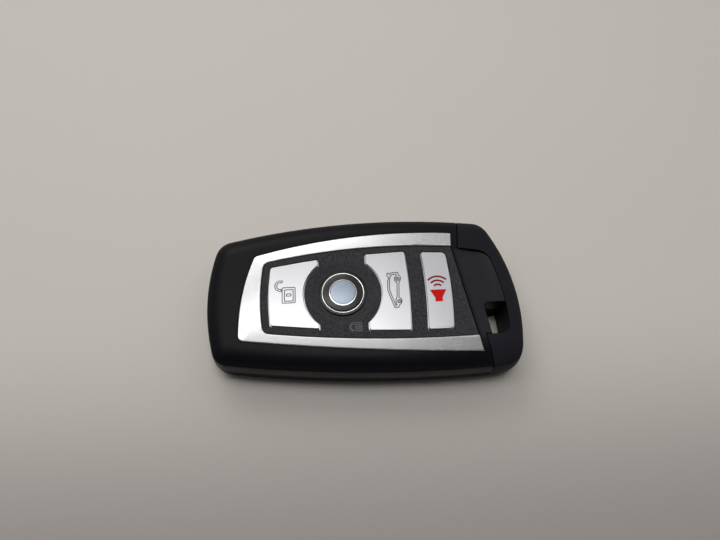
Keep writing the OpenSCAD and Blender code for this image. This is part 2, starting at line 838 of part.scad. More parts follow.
module button_panel() {
    color([0.13, 0.13, 0.135]) difference() {
        prism(panel_z, panel_top) panel_plan();
        cap_opening() unlock_plan();
        cap_opening() boot_plan();
        cap_opening() panic_plan();
        translate([lock_x, 0, 0]) {
            translate([0, 0, panel_z - over])
                cylinder(d = lock_d + 2 * cap_gap, h = panel_t + 2 * over, $fn = 96);
            translate([0, 0, panel_z - over])
                cylinder(d = lock_d + 2 * (keep_w + cap_gap), h = keep_top + stop_gap - panel_z + over,
                    $fn = 96);
            // Dish round the lock button
            translate([0, 0, panel_top - dish_h])
                cylinder(d1 = lock_d + 2 * cap_gap, d2 = dish_d, h = dish_h + slice, $fn = 96);
        }
    }
}

module keypad_mat() {
    color([0.2, 0.2, 0.21]) difference() {
        prism(deck_top, panel_z) panel_plan();
        stem_holes(deck_top, panel_z);
    }
}

module unlock_cap() {
    color([0.72, 0.72, 0.7]) cap(unlock_stem) unlock_plan();
}

module boot_cap() {
    color([0.72, 0.72, 0.7]) cap(boot_stem) boot_plan();
}

module panic_cap() {
    color([0.7, 0.7, 0.68]) cap(panic_stem) panic_plan();
}

module lock_cap() {
    color([0.04, 0.04, 0.045]) translate([lock_x, 0, 0]) difference() {
        union() {
            translate([0, 0, keep_z]) cylinder(d = lock_d, h = panel_top - keep_z, $fn = 96);
            translate([0, 0, keep_z]) cylinder(d = lock_d + 2 * keep_w, h = keep_t, $fn = 96);
            translate([0, 0, plunger_top]) cylinder(d = stem_d, h = keep_z - plunger_top + over, $fn = 32);
        }
        translate([0, 0, seat_z]) cylinder(r = seat_r, h = panel_top, $fn = 96);
    }
}

module badge_ring() {
    color([0.85, 0.85, 0.84]) translate([lock_x, 0, seat_z]) difference() {
        cylinder(d = ring_d, h = ring_top - seat_z, $fn = 96);
        translate([0, 0, -over]) cylinder(d = ring_d - 2 * ring_w, h = panel_top, $fn = 96);
    }
}

module badge_dome() {
    r = ring_d / 2 - ring_w - ring_fit;
    rim = ring_top - seat_z;
    color([0.02, 0.02, 0.02]) translate([lock_x, 0, seat_z]) rotate_extrude($fn = 96)
        polygon(concat(
            [[0, 0], [r, 0]],
            [for (i = [0 : 8]) let (t = i / 8) [r * (1 - t), rim + dome_h * (1 - pow(1 - t, 2))]]
        ));
}

// A plunger in its housing's bore
module plunger(stem) {
    foot = board_top + press + plunger_gap;
    color([0.55, 0.55, 0.5]) translate([stem.x, stem.y, foot])
        cylinder(d = plunger_d, h = plunger_top - foot, $fn = 32);
}

module switch_bodies() {
    color([0.35, 0.35, 0.34]) for (p = stems)
        translate([p.x, p.y, board_top]) difference() {
            translate([-switch_w / 2, -switch_w / 2, 0]) cube([switch_w, switch_w, switch_h]);
            translate([0, 0, switch_floor])
                cylinder(d = plunger_d + 2 * plunger_fit, h = switch_h, $fn = 32);
        }
}

module board_plan() {
    difference() {
        offset(delta = -board_inset) cavity_plan();
        // Clear of the blade's channel, and of the release post
        translate([-reach, channel_y - channel_wall - board_gap]) square([2 * reach, reach]);
        translate([release_x - post_d / 2 - board_gap, release_y - post_d / 2 - board_gap]) square(reach);
    }
}

module circuit_board() {
    color([0.05, 0.25, 0.12]) difference() {
        prism(board_z, board_top) board_plan();
        for (p = [tail_post, near_post])
            translate([p.x, p.y, board_z - over])
                cylinder(r = locate_r + fit / 2, h = board_t + 2 * over, $fn = 32);
    }
}

module controller_chip() {
    color([0.06, 0.06, 0.06]) under_board(controller_at, [controller_w, controller_w, chip_h]);
}

module radio_chip() {
    color([0.08, 0.08, 0.08]) under_board(radio_at, [radio_w, radio_w, chip_h]);
}

module crystal() {
    color([0.75, 0.75, 0.72]) under_board(crystal_at, [crystal_l, crystal_w, chip_h]);
}

module capacitors() {
    color([0.6, 0.5, 0.4]) for (i = [0 : capacitor_n - 1])
        under_board(capacitors_at + [capacitor_pitch * i, 0], [capacitor_w, capacitor_l, capacitor_w]);
}

// Transponder coil: a ferrite bobbin with square end flanges
module coil_core() {
    color([0.2, 0.2, 0.22]) {
        for (side = [-1, 1])
            under_board(coil_at + [side * (coil_l - coil_flange) / 2, 0], [coil_flange, coil_w, coil_w]);
        translate([coil_at.x - coil_l / 2 + over, coil_at.y - coil_neck / 2, board_z - coil_w + coil_deep])
            cube([coil_l - 2 * over, coil_neck, coil_neck]);
    }
}

module coil_winding() {
    turns_l = coil_bared - 2 * fit;
    turns_w = coil_w - 2 * fit;
    color([0.7, 0.4, 0.2]) translate([coil_at.x - turns_l / 2, coil_at.y, board_z - coil_w / 2]) difference() {
        translate([0, -turns_w / 2, -turns_w / 2]) cube([turns_l, turns_w, turns_w]);
        translate([-over, -coil_neck / 2, -coil_neck / 2]) cube([turns_l + 2 * over, coil_neck, coil_neck]);
    }
}

module coin_cell() {
    color([0.78, 0.78, 0.77]) translate([cell_x, cell_y, cell_z]) {
        cylinder(d = cell_d, h = cell_h - cell_step, $fn = 96);
        cylinder(d = cell_d - 4 * cell_step, h = cell_h, $fn = 96);
    }
}

// Side contact: a strip down the cell's can with a foot under the board
module contact_plus() {
    x = cell_x - cell_d / 2 - ring_fit;
    foot_z = board_z - contact_t;
    low = ledge_top + board_gap;
    color([0.82, 0.78, 0.6]) translate([0, cell_y + plus_w / 2, 0]) rotate([90, 0, 0]) linear_extrude(plus_w)
        polygon([
            [x, low], [x, board_z], [x - foot_l, board_z], [x - foot_l, foot_z],
            [x - contact_t, foot_z], [x - contact_t, low]
        ]);
}

// Face contact: a finger bent down from the board onto the cell
module contact_minus() {
    foot_z = board_z - contact_t;
    low = cell_z + cell_h + ring_fit;
    color([0.82, 0.78, 0.6]) translate([cell_x, cell_y + minus_w / 2, 0]) rotate([90, 0, 0])
        linear_extrude(minus_w) polygon([
            [finger_root, board_z], [finger_bend, board_z], [finger_touch, low + contact_t],
            [finger_end, low + contact_t], [finger_end, low], [finger_touch + contact_t, low],
            [finger_bend + contact_t, foot_z], [finger_root, foot_z]
        ]);
}

module track_plan() {
    step = (blade_l - track_in) / (len(track_bends) + 1);
    bends = [for (i = [0 : len(track_bends) - 1]) [blade_tip + step * (i + 1), blade_y + track_bends[i]]];
    path = concat([[blade_tip - over, blade_y]], bends, [[far_seam_x - track_in, blade_y]]);
    half = [0, track_w / 2];
    polygon(concat(
        [for (p = path) p - half],
        [for (i = [len(path) - 1 : -1 : 0]) path[i] + half]
    ));
}

module key_blade() {
    half = blade_w / 2;
    tip_half = blade_w / 5;
    root_x = far_seam_x + head_gap;
    color([0.7, 0.7, 0.69]) difference() {
        union() {
            prism(blade_z, blade_top) polygon([
                [root_x, blade_y - half], [root_x, blade_y + half],
                [blade_tip + half, blade_y + half], [blade_tip, blade_y + tip_half],
                [blade_tip, blade_y - tip_half], [blade_tip + half, blade_y - half]
            ]);
            translate([far_seam_x, blade_y - root_w / 2, blade_z]) cube([root_l, root_w, blade_t]);
        }
        // Milled track on both faces, and the latch notch
        prism(blade_top - track_h, blade_top + over) track_plan();
        prism(blade_z - over, blade_z + track_h) track_plan();
        translate([notch_x - notch_w / 2, blade_y - half - over, blade_top - notch_h])
            cube([notch_w, blade_w + 2 * over, notch_h + over]);
    }
}

module key_head() {
    color([0.06, 0.06, 0.065]) difference() {
        intersection() {
            whole_form();
            prism(-over, crown_z + over) head_plan();
        }
        // Socket of the blade, which is moulded in
        translate([far_seam_x - blade_w, blade_y - root_w / 2, blade_z])
            cube([root_l + blade_w, root_w, blade_t]);
        translate([far_seam_x - blade_w, blade_y - blade_w / 2 - fit, blade_z - fit])
            cube([blade_w + head_gap + over, blade_w + 2 * fit, blade_t + 2 * fit]);
    }
}

module latch_spring() {
    nose_z = blade_top - notch_h + fit;
    foot = latch_nose_w / 2;
    color([0.8, 0.8, 0.78]) difference() {
        union() {
            // Leaf with its nose in the blade's notch
            translate([0, blade_y + latch_w / 2, 0]) rotate([90, 0, 0]) linear_extrude(latch_w)
                polygon([
                    [latch_x, latch_z], [latch_x, latch_z + latch_t], [latch_end, latch_z + latch_t],
                    [latch_end, latch_z], [notch_x + 2 * foot, latch_z], [notch_x + foot, nose_z],
                    [notch_x - foot, nose_z], [notch_x - 2 * foot, latch_z]
                ]);
            // Tab over the release post
            translate([release_x - post_d / 2, release_y - post_d / 2, latch_z])
                cube([post_d, blade_y - latch_w / 2 - release_y + post_d / 2 + over, latch_t]);
        }
        translate([stake_x, blade_y, latch_z - over]) cylinder(r = locate_r, h = latch_t + 2 * over, $fn = 32);
    }
}

module release_button() {
    color([0.09, 0.09, 0.095]) {
        prism(0, floor_t + release_lip_t) release_plan(0);
        prism(floor_t, floor_t + release_lip_t) release_plan(release_keep);
        translate([release_x, release_y, floor_t])
            cylinder(d = post_d, h = latch_z - floor_t - stop_gap, $fn = 32);
    }
}

upper_casing();
lower_casing();
battery_cover();
cover_seal();
bezel_trim();
button_panel();
keypad_mat();
unlock_cap();
lock_cap();
badge_ring();
badge_dome();
boot_cap();
panic_cap();
plunger(unlock_stem);  // unlock_plunger
plunger(lock_stem);  // lock_plunger
plunger(boot_stem);  // boot_plunger
plunger(panic_stem);  // panic_plunger
switch_bodies();
circuit_board();
controller_chip();
radio_chip();
crystal();
capacitors();
coil_core();
coil_winding();
coin_cell();
contact_plus();
contact_minus();
key_blade();
key_head();
latch_spring();
release_button();
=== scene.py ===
# Car key fob: the looks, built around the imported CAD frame
import math

import bpy
from mathutils import Matrix, Vector
from mathutils.kdtree import KDTree


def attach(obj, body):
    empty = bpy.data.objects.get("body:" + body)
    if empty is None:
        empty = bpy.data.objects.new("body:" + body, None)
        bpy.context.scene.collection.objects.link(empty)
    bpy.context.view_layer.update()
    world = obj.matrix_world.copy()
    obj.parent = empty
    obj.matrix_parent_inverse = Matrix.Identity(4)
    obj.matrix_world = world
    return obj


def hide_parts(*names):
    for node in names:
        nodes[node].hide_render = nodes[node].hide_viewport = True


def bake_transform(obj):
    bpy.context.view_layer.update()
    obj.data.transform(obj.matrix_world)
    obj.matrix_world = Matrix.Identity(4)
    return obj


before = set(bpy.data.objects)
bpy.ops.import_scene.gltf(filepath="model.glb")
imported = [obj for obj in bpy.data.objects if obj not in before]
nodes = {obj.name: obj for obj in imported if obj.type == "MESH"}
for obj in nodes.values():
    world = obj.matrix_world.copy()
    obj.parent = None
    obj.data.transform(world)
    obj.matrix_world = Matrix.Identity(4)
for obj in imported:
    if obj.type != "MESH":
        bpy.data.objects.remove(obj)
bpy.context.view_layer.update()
mm = 0.001
print("frame loaded, nodes:", len(nodes))


# Selecting and mode changes

def pickOnly(piece):
    if bpy.context.object and bpy.context.object.mode != "OBJECT":
        bpy.ops.object.mode_set(mode="OBJECT")
    bpy.ops.object.select_all(action="DESELECT")
    if piece:
        piece.select_set(True)
        bpy.context.view_layer.objects.active = piece


def openMesh(piece, pickAll=True):
    pickOnly(piece)
    bpy.ops.object.mode_set(mode="EDIT")
    if pickAll:
        bpy.ops.mesh.select_all(action="SELECT")


def closeMesh():
    bpy.ops.object.mode_set(mode="OBJECT")


def pointOutwards(piece):
    openMesh(piece)
    bpy.ops.mesh.normals_make_consistent(inside=False)
    closeMesh()
    if sum(face.center.dot(face.normal) * face.area for face in piece.data.polygons) < 0:
        openMesh(piece)
        bpy.ops.mesh.flip_normals()
        closeMesh()


# Plan lines, in millimetres

def bowLine(a, b, rise, count=24):
    # from a to b on a shallow curve that bows to the right of the way
    way = (b[0] - a[0], b[1] - a[1])
    size = math.hypot(*way)
    side = (way[1] / size, -way[0] / size)
    line = []
    for i in range(count + 1):
        t = i / count
        lift = 4 * rise * t * (1 - t)
        line.append((a[0] + way[0] * t + side[0] * lift, a[1] + way[1] * t + side[1] * lift))
    return line


def roundCorner(before, after, radius, steps=10):
    # joins two lines that meet at a corner with an arc
    corner = Vector(before[-1])
    goIn = (corner - Vector(before[-2])).normalized()
    goOut = (Vector(after[1]) - corner).normalized()
    turn = math.atan2(goIn.x * goOut.y - goIn.y * goOut.x, goIn.dot(goOut))
    reach = radius * math.tan(abs(turn) / 2)
    side = 1 if turn > 0 else -1
    start = corner - goIn * reach
    middle = start + Vector((-goIn.y, goIn.x)) * side * radius
    arm = start - middle
    arc = []
    for i in range(steps + 1):
        angle = turn * i / steps
        c, s = math.cos(angle), math.sin(angle)
        arc.append((middle.x + arm.x * c - arm.y * s, middle.y + arm.x * s + arm.y * c))
    first = [p for p in before[:-1] if (Vector(p) - corner).length > reach * 1.02]
    last = [p for p in after[1:] if (Vector(p) - corner).length > reach * 1.02]
    return first + arc + last


def growOutline(outline, by):
    # moves each side of a closed outline outwards
    count = len(outline)
    area = sum(outline[i - 1][0] * outline[i][1] - outline[i][0] * outline[i - 1][1] for i in range(count))
    sign = 1 if area > 0 else -1
    grown = []
    for i in range(count):
        a, b, c = Vector(outline[i - 1]), Vector(outline[i]), Vector(outline[(i + 1) % count])
        d1, d2 = (b - a).normalized(), (c - b).normalized()
        n1, n2 = Vector((d1.y, -d1.x)) * sign, Vector((d2.y, -d2.x)) * sign
        mid = n1 + n2
        grown.append(tuple(b + mid * (2 * by / max(mid.length_squared, 0.4))))
    return grown


def rounderCorner(outline, place, radius, reach=2.2):
    # redraws the corner of a closed outline that lies near a place
    near = min(range(len(outline)), key=lambda n: math.dist(outline[n], place))
    turned = outline[near:] + outline[:near]
    kept = [spot for spot in turned if math.dist(spot, outline[near]) > reach]
    a, b, c, d = Vector(kept[-2]), Vector(kept[-1]), Vector(kept[0]), Vector(kept[1])
    way, back = b - a, c - d
    t = ((c.x - b.x) * back.y - (c.y - b.y) * back.x) / (way.x * back.y - way.y * back.x)
    corner = tuple(b + way * t)
    return roundCorner(kept + [corner], [corner, kept[0]], radius)[:-1]


def finerLine(outline, step=0.7):
    # splits the long sides of a closed outline
    line = []
    for n, spot in enumerate(outline):
        way = Vector(outline[(n + 1) % len(outline)]) - Vector(spot)
        parts = max(1, math.ceil(way.length / step))
        line += [tuple(Vector(spot) + way * (i / parts)) for i in range(parts)]
    return line


def ringLine(x, y, radius, count=96):
    return [(x + radius * math.cos(2 * math.pi * i / count), y + radius * math.sin(2 * math.pi * i / count))
            for i in range(count)]


# Modelling moves

clear = {"under": -2.0, "over": 16.0}  # heights well below and above the fob, for what cuts through
axisR = 0.0001  # spun outlines start this close to their axis


def atHeight(outline, z):
    return [(x, y, z) for x, y in outline]


def faceFrom(name, ring):
    # a filled circle whose points are pulled onto an outline
    pickOnly(None)
    bpy.ops.mesh.primitive_circle_add(vertices=len(ring), radius=mm, fill_type="NGON")
    piece = bpy.context.object
    piece.name = piece.data.name = name
    for vert, spot in zip(piece.data.vertices, ring):
        vert.co = Vector(spot) * mm
    return piece


def slabFrom(name, outline, low, high):
    piece = faceFrom(name, atHeight(outline, low))
    openMesh(piece)
    bpy.ops.mesh.extrude_region_move(TRANSFORM_OT_translate={"value": (0, 0, (high - low) * mm)})
    closeMesh()
    pointOutwards(piece)
    return piece


def loftFrom(name, rings):
    # one extrusion for each ring, pulled onto the ring's own outline
    piece = faceFrom(name, rings[0])
    openMesh(piece)
    for old, new in zip(rings, rings[1:]):
        bpy.ops.object.mode_set(mode="EDIT")
        bpy.ops.mesh.extrude_region_move()
        bpy.ops.object.mode_set(mode="OBJECT")
        places = KDTree(len(old))
        for n, spot in enumerate(old):
            places.insert(Vector(spot) * mm, n)
        places.balance()
        for vert in piece.data.vertices:
            if vert.select:
                vert.co = Vector(new[places.find(vert.co)[1]]) * mm
    pointOutwards(piece)
    return piece


def quarterTurn(radius, steps=5):
    # (in, up) of a quarter circle, from the side wall to the top
    turns = [math.pi / 2 * i / steps for i in range(steps + 1)]
    return [(radius * (1 - math.cos(a)), radius * math.sin(a)) for a in turns]


def roundedTop(outline, high, radius):
    # rings of a rounded upper edge that ends at a height
    return [atHeight(growOutline(outline, -inward), high - radius + up)
            for inward, up in quarterTurn(radius)]


def flaredCutter(name, rings, outline, surface, radius):
    # a cutter that opens towards the surface, so that the edge it leaves is rounded
    for inward, up in quarterTurn(radius):
        flare = growOutline(outline, radius - math.sqrt(max(radius ** 2 - up ** 2, 0)))
        rings.append([(x, y, surface(x, y) - radius + up) for x, y in flare])
    rings.append([(x, y, clear["over"]) for x, y, z in rings[-1]])
    return loftFrom(name, rings)


def roundedKeeper(name, outline, top, bottom, radius):
    # a solid that narrows towards both skins, so that what it keeps has rounded edges
    turns = quarterTurn(radius)
    rings = [[(x, y, bottom(x, y) + radius - up) for x, y in growOutline(outline, -inward)]
             for inward, up in reversed(turns)]
    rings += [[(x, y, top(x, y) - radius + up) for x, y in growOutline(outline, -inward)]
              for inward, up in turns]
    foot = [(x, y, clear["under"]) for x, y, z in rings[0]]
    peak = [(x, y, clear["over"]) for x, y, z in rings[-1]]
    return loftFrom(name, [foot] + rings + [peak])


def spinFrom(name, x, y, profile, steps=96):
    # a profile of (radius, height) spun round an upright line
    pickOnly(None)
    bpy.ops.mesh.primitive_circle_add(vertices=len(profile), radius=mm, fill_type="NOTHING")
    piece = bpy.context.object
    piece.name = piece.data.name = name
    for vert, (r, z) in zip(piece.data.vertices, profile):
        vert.co = ((x + r) * mm, y * mm, z * mm)
    openMesh(piece)
    bpy.ops.mesh.spin(steps=steps, angle=2 * math.pi, center=(x * mm, y * mm, 0), axis=(0, 0, 1))
    bpy.ops.mesh.select_all(action="SELECT")
    bpy.ops.mesh.remove_doubles(threshold=0.001 * mm)
    bpy.ops.mesh.delete_loose(use_verts=True, use_edges=True, use_faces=False)
    bpy.ops.mesh.select_all(action="SELECT")
    bpy.ops.mesh.normals_make_consistent(inside=False)
    closeMesh()
    return piece


def cutWith(piece, cutter, way="DIFFERENCE"):
    pickOnly(piece)
    tool = piece.modifiers.new("cut", "BOOLEAN")
    tool.operation = way
    tool.solver = "EXACT"
    tool.object = cutter
    bpy.ops.object.modifier_apply(modifier=tool.name)
    bpy.data.objects.remove(cutter)


def cadCopy(node, name, flat=0.4):
    # a merged copy of a CAD node's mesh, with its flat faces whole again
    piece = bpy.data.objects.new(name, nodes[node].data.copy())
    piece.data.name = name
    bpy.context.scene.collection.objects.link(piece)
    pickOnly(piece)
    if piece.data.has_custom_normals:
        bpy.ops.mesh.customdata_custom_splitnormals_clear()
    openMesh(piece)
    bpy.ops.mesh.mark_sharp(clear=True)
    bpy.ops.mesh.remove_doubles(threshold=0.002 * mm)
    bpy.ops.mesh.dissolve_limited(angle_limit=math.radians(flat))
    closeMesh()
    return piece


def topOutline(node):
    # plan outline of the highest flat face of a CAD node, in millimetres
    piece = cadCopy(node, "outlineSource")
    high = max(vert.co.z for vert in piece.data.vertices)
    faces = [f for f in piece.data.polygons if f.normal.z > 0.99 and abs(f.center.z - high) < 0.01 * mm]
    face = max(faces, key=lambda f: f.area)
    line = [(piece.data.vertices[n].co.x / mm, piece.data.vertices[n].co.y / mm) for n in face.vertices]
    bpy.data.objects.remove(piece)
    return [spot for n, spot in enumerate(line) if (Vector(spot) - Vector(line[n - 1])).length > 0.05]


def tidyMesh(piece, gap=0.004):
    openMesh(piece)
    bpy.ops.mesh.remove_doubles(threshold=gap * mm)
    bpy.ops.mesh.dissolve_degenerate(threshold=gap * mm)
    closeMesh()


def softenEdges(piece, width, segments=2, sharper=32, smooth=38):
    pickOnly(piece)
    soft = piece.modifiers.new("soft", "BEVEL")
    soft.width = width * mm
    soft.segments = segments
    soft.limit_method = "ANGLE"
    soft.angle_limit = math.radians(sharper)
    soft.use_clamp_overlap = False
    bpy.ops.object.modifier_apply(modifier=soft.name)
    smoothFaces(piece, smooth)


def smoothFaces(piece, smooth=38):
    pickOnly(piece)
    bpy.ops.object.shade_smooth_by_angle(angle=math.radians(smooth))
    lay = piece.modifiers.new("lay", "WEIGHTED_NORMAL")
    lay.keep_sharp = True
    bpy.ops.object.modifier_apply(modifier=lay.name)


def settle(piece, body, slot, finish, *stands):
    piece.data.materials.clear()
    piece.data.materials.append(finish)
    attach(piece, body)
    if stands:
        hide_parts(*stands)


# Shared effects, one node group each

def newGroup(name, inputs, outputs):
    group = bpy.data.node_groups.new(name, "ShaderNodeTree")
    for label, value in inputs.items():
        socket = group.interface.new_socket(label, in_out="INPUT", socket_type="NodeSocketFloat")
        socket.default_value = value
    for label in outputs:
        group.interface.new_socket(label, in_out="OUTPUT", socket_type="NodeSocketFloat")
    return group, group.nodes.new("NodeGroupInput"), group.nodes.new("NodeGroupOutput")


def addNode(tree, kind, settings=None, **values):
    node = tree.nodes.new(kind)
    for key, value in (settings or {}).items():
        setattr(node, key, value)
    for key, value in values.items():
        node.inputs[key.replace("_", " ")].default_value = value
    return node


def wire(tree, source, node, socket):
    tree.links.new(source, node.inputs[socket])


def objectPlace(tree):
    # x, y and z of a place on the piece, as separate outputs
    apart = addNode(tree, "ShaderNodeSeparateXYZ")
    wire(tree, addNode(tree, "ShaderNodeTexCoord").outputs["Object"], apart, 0)
    return apart.outputs


def addMath(tree, operation, first, second=None, third=None, clamp=False):
    node = tree.nodes.new("ShaderNodeMath")
    node.operation = operation
    node.use_clamp = clamp
    for socket, value in zip(node.inputs, (first, second, third)):
        if value is None:
            continue
        if isinstance(value, (int, float)):
            socket.default_value = value
        else:
            tree.links.new(value, socket)
    return node.outputs[0]


def makeGrain():
    # fine moulded grain: a spark-eroded skin in two sizes
    group, given, out = newGroup("mouldedGrain", {"Size": 0.3, "Depth": 1.0}, ("Height", "Tone"))
    spot = addNode(group, "ShaderNodeTexCoord").outputs["Object"]
    often = addMath(group, "DIVIDE", 1000.0, given.outputs["Size"])
    fine = addNode(group, "ShaderNodeTexNoise", Detail=3.0, Roughness=0.65)
    coarse = addNode(group, "ShaderNodeTexVoronoi", {"feature": "SMOOTH_F1"})
    wire(group, spot, fine, "Vector")
    wire(group, spot, coarse, "Vector")
    wire(group, often, fine, "Scale")
    wire(group, addMath(group, "MULTIPLY", often, 0.45), coarse, "Scale")
    both = addMath(group, "MULTIPLY_ADD", coarse.outputs["Distance"], 0.6, fine.outputs["Fac"])
    wire(group, addMath(group, "MULTIPLY", both, given.outputs["Depth"]), out, "Height")
    wire(group, addMath(group, "SUBTRACT", fine.outputs["Fac"], 0.5), out, "Tone")
    return group


def makeHandling():
    # soft smears from handling and slow tone changes of the moulding
    group, given, out = newGroup("handlingMarks", {"Size": 8.0, "Spread": 1.0}, ("Smear", "Cloud"))
    spot = addNode(group, "ShaderNodeTexCoord").outputs["Object"]
    often = addMath(group, "DIVIDE", 1000.0, given.outputs["Size"])
    smear = addNode(group, "ShaderNodeTexNoise", Detail=5.0, Roughness=0.6, Distortion=1.2)
    cloud = addNode(group, "ShaderNodeTexNoise", Detail=2.0, Roughness=0.5)
    wire(group, spot, smear, "Vector")
    wire(group, spot, cloud, "Vector")
    wire(group, often, smear, "Scale")
    wire(group, addMath(group, "MULTIPLY", often, 0.35), cloud, "Scale")
    band = addNode(group, "ShaderNodeMapRange", {"interpolation_type": "SMOOTHSTEP"},
                   From_Min=0.42, From_Max=0.68)
    wire(group, smear.outputs["Fac"], band, "Value")
    spread = addMath(group, "MULTIPLY", band.outputs[0], given.outputs["Spread"])
    wire(group, spread, out, "Smear")
    wire(group, addMath(group, "SUBTRACT", cloud.outputs["Fac"], 0.5), out, "Cloud")
    return group


def makeScratches():
    # hair-fine scuffs in two directions, broken up so that only some stretches show
    group, given, out = newGroup("hairScuffs", {"Spacing": 1.2, "Share": 0.3}, ("Scuff",))
    spot = addNode(group, "ShaderNodeTexCoord").outputs["Object"]
    often = addMath(group, "DIVIDE", 1000.0, given.outputs["Spacing"])
    marks = []
    for turn, seed in ((0.35, 3.0), (-0.6, 11.0)):
        lay = addNode(group, "ShaderNodeMapping", Rotation=(0, 0, turn), Location=(seed, seed, 0),
                      Scale=(0.06, 1.0, 1.0))
        line = addNode(group, "ShaderNodeTexNoise", Detail=1.0, Roughness=0.3)
        wire(group, spot, lay, "Vector")
        wire(group, lay.outputs[0], line, "Vector")
        wire(group, often, line, "Scale")
        off = addMath(group, "ABSOLUTE", addMath(group, "SUBTRACT", line.outputs["Fac"], 0.5))
        edge = addNode(group, "ShaderNodeMapRange", From_Min=0.0, From_Max=0.012, To_Min=1.0, To_Max=0.0)
        wire(group, off, edge, "Value")
        marks.append(edge.outputs[0])
    patch = addNode(group, "ShaderNodeTexNoise", Detail=2.0)
    wire(group, spot, patch, "Vector")
    wire(group, addMath(group, "MULTIPLY", often, 0.2), patch, "Scale")
    least = addMath(group, "SUBTRACT", 0.75, addMath(group, "MULTIPLY", given.outputs["Share"], 0.5))
    over = addMath(group, "SUBTRACT", patch.outputs["Fac"], least)
    shown = addMath(group, "MULTIPLY", over, 8.0, clamp=True)
    either = addMath(group, "MAXIMUM", marks[0], marks[1])
    wire(group, addMath(group, "MULTIPLY", either, shown), out, "Scuff")
    return group


def makeSunBrush():
    # streaks that run outwards from a middle on the x line, given in millimetres
    group, given, out = newGroup("sunBrush", {"CentreX": 0.0, "Often": 60.0}, ("Streak",))
    apart = objectPlace(group)
    x = addMath(group, "MULTIPLY", apart["X"], 1000.0)
    y = addMath(group, "MULTIPLY", apart["Y"], 1000.0)
    angle = addMath(group, "ARCTAN2", y, addMath(group, "SUBTRACT", x, given.outputs["CentreX"]))
    line = addNode(group, "ShaderNodeTexNoise", {"noise_dimensions": "1D"}, Detail=4.0, Roughness=0.7)
    wire(group, angle, line, "W")
    wire(group, given.outputs["Often"], line, "Scale")
    wire(group, line.outputs["Fac"], out, "Streak")
    return group


mouldedGrain = makeGrain()
handlingMarks = makeHandling()
hairScuffs = makeScratches()
sunBrush = makeSunBrush()
print("shared effects ready")


# Finishes

def newFinish(name):
    finish = bpy.data.materials.new(name)
    finish.use_nodes = True
    tree = finish.node_tree
    shader = tree.nodes["Principled BSDF"]
    return finish, tree, shader


def useGroup(tree, group, **values):
    node = tree.nodes.new("ShaderNodeGroup")
    node.node_tree = group
    for key, value in values.items():
        node.inputs[key].default_value = value
    return node


def mixTones(tree, factor, first, second):
    mix = addNode(tree, "ShaderNodeMix", {"data_type": "RGBA"})
    mix.inputs["A"].default_value = (*first, 1)
    mix.inputs["B"].default_value = (*second, 1)
    wire(tree, factor, mix, "Factor")
    return mix.outputs["Result"]


def surfaceFinish(name, look):
    # one recipe for moulded, painted and metal skins: tone, gloss and relief come from the shared effects
    finish, tree, shader = newFinish(name)
    grain = useGroup(tree, mouldedGrain, Size=look["grain"], Depth=1.0)
    marks = useGroup(tree, handlingMarks, Size=look["smear"], Spread=1.0)
    scuffs = useGroup(tree, hairScuffs, Spacing=look["scuff"], Share=look["worn"])
    # tone: slow clouds and the grain move it between the dark and the light colour
    tone = addMath(tree, "MULTIPLY_ADD", marks.outputs["Cloud"], look["cloud"], 0.5)
    tone = addMath(tree, "MULTIPLY_ADD", grain.outputs["Tone"], look["fleck"], tone)
    tone = addMath(tree, "MULTIPLY_ADD", scuffs.outputs["Scuff"], look["bare"], tone, clamp=True)
    wire(tree, mixTones(tree, tone, look["dark"], look["light"]), shader, "Base Color")
    # gloss: smears polish the skin, scuffs dull it
    gloss = addMath(tree, "MULTIPLY_ADD", marks.outputs["Smear"], look["polish"], look["rough"])
    gloss = addMath(tree, "MULTIPLY_ADD", grain.outputs["Tone"], look["sparkle"], gloss)
    gloss = addMath(tree, "MULTIPLY_ADD", scuffs.outputs["Scuff"], look["dull"], gloss, clamp=True)
    wire(tree, gloss, shader, "Roughness")
    shader.inputs["Metallic"].default_value = look["metal"]
    shader.inputs["Specular IOR Level"].default_value = look["specular"]
    shader.inputs["Coat Weight"].default_value = look["coat"]
    shader.inputs["Coat Roughness"].default_value = look["coatRough"]
    relief = addMath(tree, "MULTIPLY_ADD", scuffs.outputs["Scuff"], -look["bare"], grain.outputs["Height"])
    bump = addNode(tree, "ShaderNodeBump", Strength=look["relief"], Distance=look["depth"] * mm)
    wire(tree, relief, bump, "Height")
    wire(tree, bump.outputs[0], shader, "Normal")
    return finish


# what every finish starts from, changed piece by piece below
plainLook = {
    "dark": (0.010, 0.010, 0.011), "light": (0.020, 0.020, 0.022), "cloud": 1.2, "fleck": 0.8, "bare": 0.0,
    "grain": 0.18, "smear": 9.0, "scuff": 1.4, "worn": 0.2,
    "rough": 0.42, "polish": -0.06, "sparkle": 0.08, "dull": 0.1,
    "metal": 0.0, "specular": 0.5, "coat": 0.0, "coatRough": 0.1, "relief": 0.12, "depth": 0.02,
}


def finishOf(name, **changes):
    return surfaceFinish(name, {**plainLook, **changes})


